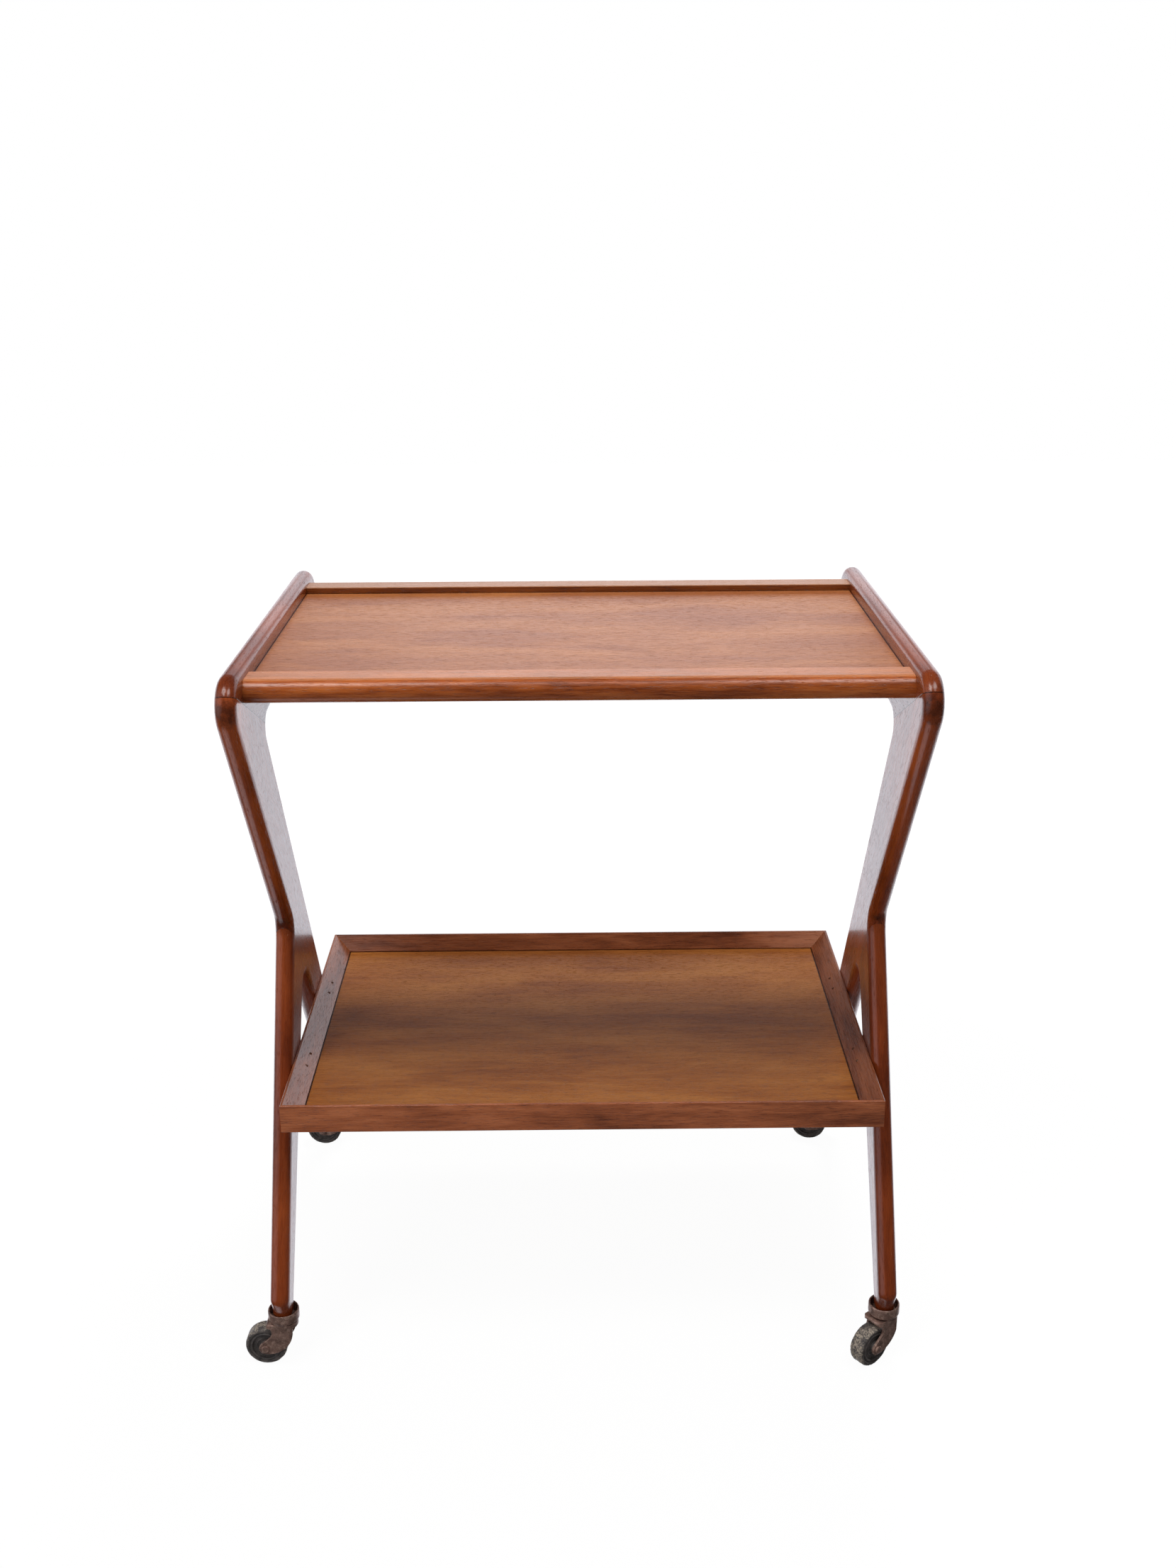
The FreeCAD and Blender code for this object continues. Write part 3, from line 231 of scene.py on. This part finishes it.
RED_BROWN = ((0.16, 0.026, 0.006), (0.28, 0.050, 0.010), (0.40, 0.080, 0.017))


def dress(node, material):
    """Gives a carried CAD node one material all over."""
    piece = nodes[node]
    piece.data.materials.clear()
    piece.data.materials.append(material)


# (y, z, radius) of each corner of an end frame's outline, going round with the wood on the right.
FRAME_CORNERS = np.array((
    (-274.574, 758, 31), (244.121, 758, 30), (244.121, 713, 12), (-113.727, 680, 10),
    (247.421, 85, 12), (238.821, 66, 6), (238.821, 54.4, 10), (212.021, 54.4, 10),
    (212.021, 66, 6), (0.718, 366.5, 20), (-186.479, 66, 6), (-186.479, 54.4, 10),
    (-213.279, 54.4, 10), (-213.279, 66, 6), (-221.879, 85, 12), (-46.043, 433, 26),
)) * MM
EDGE_ROUND = 9.8 * MM
HALF_TIMBER = 10 * MM
FLAT_INSET = 9.95 * MM  # one more ring, just inside each flat's rim, keeps the shading there flat
MITRE_DIP = math.radians(26.737)


def rounded_path(corners, steps):
    """Points and outward normals of a closed outline. Each corner becomes an arc whose centre lies
    on the corner's bisector, a radius from both sides; the arc's angle runs evenly from the one
    side's normal to the other's."""
    spots, radii = corners[:, :2], corners[:, 2]
    after = np.roll(spots, -1, axis=0) - spots
    after /= np.linalg.norm(after, axis=1)[:, None]
    before = np.roll(after, 1, axis=0)
    turn = np.arctan2(
        before[:, 0] * after[:, 1] - before[:, 1] * after[:, 0], (before * after).sum(axis=1)
    )
    hand = np.sign(turn)
    start = spots - before * (radii * np.tan(np.abs(turn) / 2))[:, None]
    inward = np.stack((-before[:, 1], before[:, 0]), axis=1) * hand[:, None]
    centre = start + inward * radii[:, None]
    angle = np.arctan2(-inward[:, 1], -inward[:, 0])[:, None] + turn[:, None] * np.linspace(0, 1, steps)
    ray = np.stack((np.cos(angle), np.sin(angle)), axis=2)
    points = centre[:, None] + ray * radii[:, None, None]
    outward = -ray * hand[:, None, None]
    return points.reshape(-1, 2), outward.reshape(-1, 2)


def rounded_board(middle_x, corners, steps=10, rows=15):
    """A board with fully rounded edges. Round the outline by t and over the edge by an angle u from
    -90 to 90 degrees: the point is the outline's own, set in by the edge's radius times 1 - cos u,
    and out from the board's middle by the flat's half plus that radius times sin u."""
    points, outward = rounded_path(corners, steps)
    over = np.linspace(-np.pi / 2, np.pi / 2, rows)
    inset = np.concatenate(((FLAT_INSET,), EDGE_ROUND * (1 - np.cos(over)), (FLAT_INSET,)))
    over = np.concatenate((over[:1], over, over[-1:]))
    flat = HALF_TIMBER - EDGE_ROUND
    side = middle_x + np.sign(over) * flat + EDGE_ROUND * np.sin(over)
    outline = points[None] - outward[None] * inset[:, None, None]
    across = np.broadcast_to(side[:, None, None], (len(side), len(points), 1))
    verts = np.concatenate((across, outline), axis=2).reshape(-1, 3)
    grid = np.arange(len(verts)).reshape(len(side), -1)
    quads = np.stack(
        (grid[:-1], np.roll(grid[:-1], -1, 1), np.roll(grid[1:], -1, 1), grid[1:]), axis=2
    ).reshape(-1, 4)
    return verts, quads.tolist() + [grid[0][::-1].tolist(), grid[-1].tolist()]


def beyond(spot, point, normal):
    """A spot lies on the side of a plane to which its normal points."""
    return (Vector(spot) - Vector(point)).dot(Vector(normal)) > 0


def board_share(name, verts, faces, share):
    """One share of a board. The board is slit along the mitre, level with the knee and, below the
    knee, along the front leg's seam. What belongs to other shares goes, the open end is closed and
    its arris taken off where a joint has opened across the front."""
    mesh = bpy.data.meshes.new(name)
    mesh.from_pydata(verts.tolist(), [], faces)
    shape = bmesh.new()
    shape.from_mesh(mesh)
    for point, normal in ((ROOT, UPWARD), (KNEE, (0, 0, 1)), (KNEE, BEHIND_SEAM)):
        reached = shape.faces[:]
        if normal is BEHIND_SEAM:
            reached = [face for face in reached if not beyond(face.calc_center_median(), KNEE, (0, 0, 1))]
        edges = {edge for face in reached for edge in face.edges}
        corners = {corner for face in reached for corner in face.verts}
        bmesh.ops.bisect_plane(
            shape, geom=[*corners, *edges, *reached], plane_co=point, plane_no=normal, dist=1e-7
        )
    others = []
    for face in shape.faces:
        middle = face.calc_center_median()
        owner = "rear_leg"
        if beyond(middle, ROOT, UPWARD):
            owner = "top_rail"
        elif not beyond(middle, KNEE, (0, 0, 1)) and not beyond(middle, KNEE, BEHIND_SEAM):
            owner = "front_leg"
        if owner != share:
            others.append(face)
    bmesh.ops.delete(shape, geom=others, context="FACES")
    open_edges = [edge for edge in shape.edges if edge.is_boundary]
    ends = bmesh.ops.holes_fill(shape, edges=open_edges)["faces"]
    arris = {edge for face in ends for edge in face.edges}
    gaping = [
        [edge for edge in arris if all(math.dist(end.co[1:], spot) < reach for end in edge.verts)]
        for spot, _, reach in OPEN_JOINTS
    ]
    for edges, (_, gap, _) in zip(gaping, OPEN_JOINTS):
        bmesh.ops.bevel(shape, geom=edges, offset=gap, segments=1, affect="EDGES")
    shape.to_mesh(mesh)
    shape.free()
    mesh.shade_smooth()
    mesh.set_sharp_from_angle(angle=math.radians(28))
    piece = bpy.data.objects.new(name, mesh)
    bpy.context.scene.collection.objects.link(piece)
    return piece


MIDDLE_LINE = 12.745 * MM
FRAME_MIDDLE = 315 * MM
ROOT = (0, -113.727 * MM, 680 * MM)
UPWARD = (0, math.sin(MITRE_DIP), math.cos(MITRE_DIP))
SEAM_LEAN = math.radians(32.016)
KNEE = (0, -50.352 * MM, 432.687 * MM)
# Place in (y, z), gap and reach of each open joint.
OPEN_JOINTS = ((KNEE[1:], 0.6 * MM, 9 * MM), (ROOT[1:], 0.18 * MM, 160 * MM))
BEHIND_SEAM = (0, math.cos(SEAM_LEAN), math.sin(SEAM_LEAN))
# Normal, distance and reach of the dirt and painted shade in the open joints.
MITRE_LINE = ((UPWARD, Vector(ROOT).dot(Vector(UPWARD)), 0.5 * MM),)
KNEE_LINE = (((0, 0, 1), KNEE[2], 1.1 * MM),)
# Place and reach in mm of each dark spot: under the mitre at both front corners, painted shade for the
# darker reflection there, and at both knees.
DARK_SPOTS = (
    ((-302, -241, 729), 17), ((328, -241, 729), 17), ((-302, -48, 440), 9), ((328, -48, 440), 9),
)
GRAIN_TURNS = {
    "top_rail": (0, 0, math.radians(-90)),
    "rear_leg": (math.radians(-33.2), math.radians(90), 0),
    "front_leg": (math.radians(29.4), math.radians(90), 0),
}
# How light each share's wood is painted. It is one wood: the top rails are painted darker because the lamps
# light their tops, and the rear legs lighter because their noses get little light.
PAINTED_LIGHT_BY_SHARE = {"top_rail": 0.77, "rear_leg": 1.12, "front_leg": 0.94}
for number, side in enumerate(("left", "right")):
    verts, faces = rounded_board(MIDDLE_LINE + (2 * number - 1) * FRAME_MIDDLE, FRAME_CORNERS)
    for share, turn in GRAIN_TURNS.items():
        piece = board_share(f"{side}_{share}_board", verts, faces, share)
        tones = map(tuple, np.array(RED_BROWN) * PAINTED_LIGHT_BY_SHARE[share])
        open_joint = KNEE_LINE if share == "front_leg" else MITRE_LINE
        wood = timber(
            f"{side}_{share}_wood", turn, (number * 0.7, 0, 0), *tones, clouds=0.6, pores=0.28,
            polish=(0.69, 0.75)[number], shine=0.2, relief=0.45, lines=open_joint, dark_spots=DARK_SPOTS, flecks=0.7,
        )
        piece.data.materials.append(wood)
        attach(piece, "trolley")
        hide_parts(f"{side}_{share}")

# Top tray. A bullnosed bar of the same hardwood in front and behind, doweled to the end frames, and a
# panel with a pinkish brown veneer that lies on the bars' ledges. Under each end of the panel runs a
# cleat, screwed to the frame.
# The bars' tops, which a painted reflection lightens: the front bar's by a share of 0.35, the rear bar's by
# 0.5.
BAR_TOP = (((0, 0, 1), 748.4 * MM, 1.2 * MM),)
BAR_TONES = np.array(((0.20, 0.038, 0.006), (0.38, 0.084, 0.013), (0.53, 0.140, 0.026)))
# The rear bar's tone is painted at 0.45 against the front bar's 1.05, painted shade for the shade on its
# tray-side face.
for number, (bar, light, top_sheen) in enumerate((
    ("top_front_rail", 1.05, 0.35), ("top_rear_rail", 0.45, 0.5),
)):
    wood = timber(
        bar + "_wood", (0, 0, 0), (number * 1.3, 0.2, 0), *map(tuple, BAR_TONES * light),
        polish=0, shine=0.7, relief=0.4, flecks=0.8, sheen_planes=(BAR_TOP, top_sheen),
    )
    dress(bar, wood)
for cleat in ("top_left_cleat", "top_right_cleat"):
    dress(cleat, timber(cleat + "_wood", (0, 0, math.radians(90)), (0.1, 0.5, 0), *RED_BROWN))
PINK_BROWN = ((0.34, 0.110, 0.037), (0.40, 0.138, 0.043), (0.46, 0.170, 0.056))
ACROSS, ALONG = (1, 0, 0), (0, 1, 0)
# Dirt and painted shade in the gaps round the top panel, widest behind, where the rear bar's shade falls.
TOP_JOINTS = (
    (ACROSS, -292.0 * MM, 0.9 * MM), (ACROSS, 317.5 * MM, 0.9 * MM),
    (ALONG, -172.6 * MM, 0.7 * MM), (ALONG, 171.0 * MM, 1.5 * MM),
)
top_veneer = timber(
    "top_veneer", (0, 0, 0), (0.3, 0.1, 0), *PINK_BROWN,
    clouds=0.75, pores=0.16, polish=0, shine=0.33, lines=TOP_JOINTS,
)
dress("top_panel", top_veneer)

# Lower tray. A rim of one hardwood moulding, mitred at its corners, slopes down to a panel with a
# golden brown veneer that lies in the rim's rebate. Nails through the rim hold the tray to the legs.
STRIP_TONES = np.array(((0.10, 0.026, 0.010), (0.21, 0.060, 0.022), (0.32, 0.105, 0.042)))
# The one moulding's tone is painted lighter or darker strip by strip, to make up for how the light falls on
# each: by 2.1 in front, 1.3 behind, 1.5 on the left and 1.25 on the right.
for number, (strip, angle, light, shine) in enumerate((
    ("shelf_front_rail", 0, 2.1, 0.5), ("shelf_rear_rail", 0, 1.3, 0.5),
    ("shelf_left_rail", 90, 1.5, 0.9), ("shelf_right_rail", 90, 1.25, 0.5),
)):
    turn = (0, 0, math.radians(angle))
    wood = timber(
        strip + "_wood", turn, (number * 0.9, 0.3, 0), *map(tuple, STRIP_TONES * light),
        clouds=0.5, relief=0.4, shine=shine, flecks=0.4,
    )
    dress(strip, wood)
GOLDEN = ((0.33, 0.10, 0.021), (0.44, 0.148, 0.031), (0.54, 0.202, 0.046))
# Dirt and painted shade in the gaps round the shelf panel, widest behind, where the rear rail's shade falls.
SHELF_JOINTS = (
    (ACROSS, -271.0 * MM, 1.6 * MM), (ACROSS, 296.5 * MM, 1.6 * MM),
    (ALONG, -168.6 * MM, 1.0 * MM), (ALONG, 197.0 * MM, 2.2 * MM),
)
shelf_veneer = timber(
    "shelf_veneer", (0, 0, 0), (0.8, 0.7, 0), *GOLDEN,
    clouds=0.5, pores=0.28, polish=0, shine=0.2, lines=SHELF_JOINTS,
)
dress("shelf_panel", shelf_veneer)

# Fastenings. Beech dowels glued into the frames' joints and the bars' ends, steel screws in the
# cleats, and nails in the lower tray's rim whose heads were stained like the wood.
beech = timber("beech", (0, 0, 0), (0, 0, 0), (0.42, 0.27, 0.14), (0.55, 0.38, 0.21), (0.66, 0.48, 0.29))
for node in ("mitre_dowels", "knee_dowels", "top_tray_dowels"):
    dress(node, beech)


def old_metal(name, dark, light, rubbed, roughness, metallic):
    """Aged metal: blotches of dirt over a dull base, paler where it is rubbed, with a faintly pitted
    skin."""
    material, tree, shader, place = bare_material(name)
    blotch = noise(tree, place, 130, 6, 0.65, 0.5)
    grain = noise(tree, place, 900, 3, 0.6)
    patch = ramp(tree, noise(tree, place, 170, 7, 0.75, 0.3), (0.50, 0.0), (0.68, 0.75))
    dull = ramp(tree, sums(tree, (blotch, 0.8), (grain, 0.2)), (0.38, dark), (0.64, light))
    wire(
        tree,
        (mixed(tree, "MIX", patch, dull, rubbed), shader.inputs["Base Color"]),
        (ramp(tree, blotch, (0.35, roughness + 0.12), (0.65, roughness - 0.1)), shader.inputs["Roughness"]),
    )
    shader.inputs["Metallic"].default_value = metallic
    bumped(tree, shader, sums(tree, (blotch, 0.6), (grain, 0.4)), 0.4, 0.3 * MM)
    return material


steel = old_metal(
    "dull_steel", (0.10, 0.09, 0.085), (0.33, 0.31, 0.29), (0.45, 0.43, 0.40), roughness=0.45, metallic=0.9,
)
dress("cleat_screws", steel)
stained = old_metal(
    "stained_nails", (0.13, 0.06, 0.038), (0.22, 0.11, 0.065), (0.26, 0.14, 0.09), roughness=0.6, metallic=0,
)
dress("shelf_nails", stained)

# Castors. A cast cup in aged bronze round each foot, a steel pin screwed up into the wood through the
# cup and the fork under it, and a grooved rubber wheel that turns on an axle riveted between the
# fork's two cheeks.
bronze = old_metal(
    "aged_bronze", (0.135, 0.078, 0.061), (0.385, 0.24, 0.195), (0.72, 0.50, 0.40),
    roughness=0.36, metallic=0.35,
)


def lumps(points, size, seed):
    """Seeded value noise between 0 and 1: random heights at the corners of a lattice, blended
    inside each cell by the smooth step 3t² - 2t³."""
    heights = np.random.default_rng(seed).random((32, 32, 32))
    cell = np.floor(points / size).astype(int)
    part = points / size - cell
    part = part * part * (3 - 2 * part)
    total = np.zeros(len(points))
    for corner in np.ndindex(2, 2, 2):
        weight = np.prod(np.where(corner, part, 1 - part), axis=1)
        total += weight * heights[tuple(((cell + corner) % 32).T)]
    return total


def section_line(corners, step, softness):
    """Evenly spaced points along a closed section, averaged with their neighbours a few times, so
    that its corners come out a little round."""
    closed = np.vstack((corners, corners[:1]))
    reach = np.concatenate(((0,), np.cumsum(np.linalg.norm(np.diff(closed, axis=0), axis=1))))
    at = np.linspace(0, reach[-1], int(reach[-1] / step), endpoint=False)
    line = np.stack([np.interp(at, reach, closed[:, axis]) for axis in (0, 1)], axis=1)
    for _ in range(softness):
        line = (np.roll(line, 1, axis=0) + 2 * line + np.roll(line, -1, axis=0)) / 4
    return line


def turned(line, turns):
    """A section of (radius, height) swept round the Z axis: the point at angle a is the radius
    times (cos a, sin a), at the section's height."""
    angle = np.linspace(0, 2 * np.pi, turns, endpoint=False)
    height = np.broadcast_to(line[:, 1:], (len(line), turns))
    verts = np.stack((line[:, :1] * np.cos(angle), line[:, :1] * np.sin(angle), height), axis=2)
    grid = np.arange(len(line) * turns).reshape(len(line), turns)
    quads = np.stack(
        (grid, np.roll(grid, -1, 1), np.roll(np.roll(grid, -1, 1), -1, 0), np.roll(grid, -1, 0)), axis=2
    )
    return verts.reshape(-1, 3), quads.reshape(-1, 4)


def new_piece(name, verts, quads, material, body, node):
    """A smooth piece from arrays of corners and faces, which rides on a body for a CAD node."""
    mesh = bpy.data.meshes.new(name)
    mesh.from_pydata(verts.tolist(), [], quads.tolist())
    mesh.shade_smooth()
    mesh.materials.append(material)
    piece = bpy.data.objects.new(name, mesh)
    bpy.context.scene.collection.objects.link(piece)
    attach(piece, body)
    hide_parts(node)
    return piece


def point_share(piece, name, values):
    """Keeps a number for each corner of a piece, for its material to read."""
    piece.data.attributes.new(name, "FLOAT", "POINT").data.foreach_set("value", values)


# Half of a wheel's section, (radius, across) in mm, from the bore to the middle of the tread.
WHEEL_SIDE = np.array((
    (2.56, 9.2), (6, 9.2), (6, 6.3), (9, 6.3), (9.8, 7.2), (10.6, 6.3), (14.2, 6.3), (14.2, 8.5),
    (16, 8.5), (16, 7.4), (17.6, 7.4), (17.6, 8.5), (19, 8.5), (20.5, 8.1), (21.6, 7.0), (22, 5.5),
)) * MM
WHEEL_SECTION = np.vstack((WHEEL_SIDE * (1, -1), WHEEL_SIDE[::-1]))
# The cup's wall, floor and hole, (radius, height) in mm.
CUP_SECTION = np.array((
    (3, 54.3), (14.4, 54.3), (14.4, 65), (15.6, 65), (16.3, 64.3), (16.3, 54.4), (13.4, 51.8), (3, 51.8),
)) * MM
TRAIL = 19.5 * MM
WHEEL_RADIUS = 22 * MM

# Dark rubber with lighter smudges. Where the tread has crumbled, pale grit shows in specks that close
# up as the wear grows.
GRIT_COLOUR = (0.62, 0.53, 0.42)
rubber, tree, shader, place = bare_material("worn_rubber")
crumble = tree.nodes.new("ShaderNodeAttribute")
crumble.attribute_name = "crumble"
grit = noise(tree, place, 620, 4, 0.7)
grittier = sums(tree, (grit, 1), (crumble.outputs["Fac"], 0.22), start=-0.11)
speck = ramp(tree, grittier, (0.45, 0.0), (0.56, 1.0))
bare = combined(tree, "MULTIPLY", speck, crumble.outputs["Fac"])
blotch = noise(tree, place, 160, 4, 0.6, 0.4)
smudge = ramp(tree, blotch, (0.35, (0.053, 0.049, 0.049)), (0.7, (0.15, 0.13, 0.12)))
wire(
    tree,
    (mixed(tree, "MIX", bare, smudge, GRIT_COLOUR), shader.inputs["Base Color"]),
    (ramp(tree, bare, (0.0, 0.42), (1.0, 0.9)), shader.inputs["Roughness"]),
)
bumped(tree, shader, grit, 0.5, 0.3 * MM)

# Corner, place of its kingpin in mm, heading in degrees, how far its tread has crumbled.
CASTORS = (
    ("front_left", -302.255, -199.879, 178, 0.7), ("front_right", 327.745, -199.879, 218, 1.8),
    ("rear_left", -302.255, 225.421, 176, 1.0), ("rear_right", 327.745, 225.421, 169, 0.9),
)
for number, (corner, across, along, heading, crumbled) in enumerate(CASTORS):
    dress(f"{corner}_fork", bronze)
    dress(f"{corner}_axle", bronze)
    dress(f"{corner}_kingpin", steel)

    # The cup is cast: its walls are drawn in by up to 1.8 % of their radius.
    verts, quads = turned(section_line(CUP_SECTION, 0.7 * MM, 2), 96)
    wobble = lumps(verts, 9 * MM, 40 + number) - 1
    verts[:, :2] *= (1 + 0.018 * wobble)[:, None]
    verts += (across * MM, along * MM, 0)
    new_piece(f"{corner}_cast_cup", verts, quads, bronze, "trolley", f"{corner}_cup")

    # The tread has worn off in chunks and crumbs. Beyond a radius of 18.6 mm the wear grows from 0 to
    # 1. Each corner loses up to 0.42 mm by its chunk and as much by its crumb, times how far this
    # castor's tread has crumbled, and the material reads how much of it is bare.
    verts, quads = turned(section_line(WHEEL_SECTION, 0.45 * MM, 2), 200)
    radius = np.linalg.norm(verts[:, :2], axis=1)
    outer = np.clip((radius - 18.6 * MM) / (2.6 * MM), 0, 1)
    chunks = lumps(verts, 5 * MM, 10 + number)
    crumbs = lumps(verts, 1.3 * MM, 20 + number)
    worn = outer * (0.35 + 0.65 * crumbs) * np.clip(1.6 * chunks, 0.3, 1)
    lost = crumbled * outer * (0.7 * np.clip(chunks - 0.4, 0, 1) + 0.42 * (1 - crumbs)) * MM
    verts[:, :2] *= (1 - lost / radius)[:, None]

    # The wheel is laid on its side: its own axis goes along the axle, and its centre trails the pin.
    heading = math.radians(heading)
    ahead = np.array((math.cos(heading), math.sin(heading), 0))
    axle = np.array((-ahead[1], ahead[0], 0))
    centre = np.array((across * MM, along * MM, WHEEL_RADIUS)) + TRAIL * ahead
    placed = centre + verts @ np.array(((0, 0, 1), ahead, axle))
    wheel = new_piece(
        f"{corner}_worn_wheel", placed, quads, rubber,
        f"{corner}_wheel_body", f"{corner}_wheel",
    )
    point_share(wheel, "crumble", worn)

# The picture: a camera at the photograph's place, a white room, two soft lamps over the trolley's
# front, one over its back and one beside the camera.
bpy.context.scene.view_settings.view_transform = "Standard"
camera = bpy.data.objects.new("camera", bpy.data.cameras.new("camera"))
bpy.context.scene.collection.objects.link(camera)
bpy.context.scene.camera = camera
camera.data.sensor_width = 36
camera.data.lens = 37.432
pitch, yaw, roll = 0.34404, 0.00732, -0.00529
ahead = Vector((math.sin(yaw) * math.cos(pitch), math.cos(yaw) * math.cos(pitch), -math.sin(pitch)))
level = Vector((math.cos(yaw), -math.sin(yaw), 0))
above = level.cross(ahead)
right = math.cos(roll) * level + math.sin(roll) * above
upward = math.cos(roll) * above - math.sin(roll) * level
camera.matrix_world = Matrix.Translation((0.00927, -1.62538, 1.15603)) @ Matrix((
    (right.x, upward.x, -ahead.x, 0),
    (right.y, upward.y, -ahead.y, 0),
    (right.z, upward.z, -ahead.z, 0),
    (0, 0, 0, 1),
))

# The room is white to the camera and dim to matt surfaces. Polished ones mirror a white sheet low
# behind the trolley, one soft patch far to the left and one below, and a dark room elsewhere.
world = bpy.data.worlds.new("white_room")
bpy.context.scene.world = world
world.use_nodes = True
tree = world.node_tree
rays = tree.nodes.new("ShaderNodeLightPath")
heading = tree.nodes.new("ShaderNodeSeparateXYZ")
wire(tree, (tree.nodes.new("ShaderNodeTexCoord").outputs["Generated"], heading.inputs["Vector"]))
behind = ramp(tree, heading.outputs["Y"], (0.3, 0.0), (0.55, 1.0))
low = ramp(tree, heading.outputs["Z"], (0.40, 1.0), (0.47, 0.0))
not_left = ramp(tree, sums(tree, (heading.outputs["X"], 1), start=0.5), (0.2, 0.0), (0.42, 1.0))
floorward = ramp(tree, heading.outputs["Z"], (0.10, 1.0), (0.2, 0.0))
not_right = ramp(tree, heading.outputs["X"], (0.16, 1.0), (0.2, 0.2), (0.27, 0.2), (0.36, 1.0))
middling = combined(tree, "MULTIPLY", not_left, not_right)
sheet = combined(
    tree, "MULTIPLY", combined(tree, "MULTIPLY", behind, low), combined(tree, "MAXIMUM", middling, floorward)
)
reflected = sheet
for aim, start, level in (((-0.90, -0.35, 0.26), 0.72, 0.8), ((-0.35, -0.15, -0.92), 0.92, 0.8)):
    toward = sums(tree, *zip((heading.outputs[axis] for axis in "XYZ"), aim))
    reflected = combined(tree, "MAXIMUM", reflected, ramp(tree, toward, (start, 0.0), (0.97, level)))
dim_room = ramp(tree, reflected, (0.0, (0.055, 0.05, 0.05)), (1.0, (1.16, 1.165, 1.255)))
diffuse_room = mixed(tree, "MIX", rays.outputs["Is Glossy Ray"], (0.175, 0.168, 0.168), dim_room)
plain = combined(tree, "MAXIMUM", rays.outputs["Is Camera Ray"], rays.outputs["Is Transmission Ray"])
room = mixed(tree, "MIX", plain, diffuse_room, (1.0, 1.0, 1.0))
wire(tree, (room, tree.nodes["Background"].inputs["Color"]))

# The floor glows nearly white, more so farther off, so that no horizon shows and the trolley's faint
# shadow stays.
floor_mesh = bpy.data.meshes.new("floor")
floor_mesh.from_pydata([(-6, -6, 0), (6, -6, 0), (6, 6, 0), (-6, 6, 0)], [], [(0, 1, 2, 3)])
floor = bpy.data.objects.new("floor", floor_mesh)
bpy.context.scene.collection.objects.link(floor)
floor.visible_glossy = False
pale, tree, shader, place = bare_material("pale_floor")
shader.inputs["Base Color"].default_value = (0.4, 0.4, 0.4, 1)
shader.inputs["Roughness"].default_value = 0.9
glow = tree.nodes.new("ShaderNodeEmission")
lift = tree.nodes.new("ShaderNodeMapRange")
lift.inputs["To Min"].default_value, lift.inputs["To Max"].default_value = 1.13, 1.3
rays = tree.nodes.new("ShaderNodeLightPath")
blend = tree.nodes.new("ShaderNodeMixShader")
away = tree.nodes.new("ShaderNodeVectorMath")
away.operation = "LENGTH"
wire(
    tree,
    (place, away.inputs[0]),
    (ramp(tree, sums(tree, (away.outputs["Value"], 0.2)), (0.16, 0.0), (0.26, 1.0)), lift.inputs["Value"]),
    (lift.outputs["Result"], glow.inputs["Strength"]),
    (sums(tree, (rays.outputs["Is Camera Ray"], 0.85)), blend.inputs[0]),
    (shader.outputs["BSDF"], blend.inputs[1]),
    (glow.outputs["Emission"], blend.inputs[2]),
    (blend.outputs["Shader"], tree.nodes["Material Output"].inputs["Surface"]),
)
floor_mesh.materials.append(pale)


def lamp(name, place, aim, size, power, mirrored):
    """A rectangular lamp that looks from its place at its aim, and may show in polished faces."""
    light = bpy.data.lights.new(name, "AREA")
    light.shape = "RECTANGLE"
    light.size, light.size_y = size
    light.energy = power
    thing = bpy.data.objects.new(name, light)
    bpy.context.scene.collection.objects.link(thing)
    thing.visible_glossy = mirrored
    thing.location = place
    thing.rotation_euler = (Vector(aim) - Vector(place)).to_track_quat("-Z", "Y").to_euler()


lamp("front_left_lamp", (-0.75, -0.85, 2.6), (0, 0, 0.5), (1.0, 0.8), 18, True)
lamp("front_right_lamp", (0.75, -0.85, 2.6), (0, 0, 0.5), (1.0, 0.8), 14, True)
lamp("rear_lamp", (0.35, 0.8, 2.6), (0, 0, 0.5), (0.6, 0.4), 24, False)
lamp("left_lamp", (-1.7, -2.2, 1.3), (0, 0, 0.4), (0.8, 1.2), 14, False)
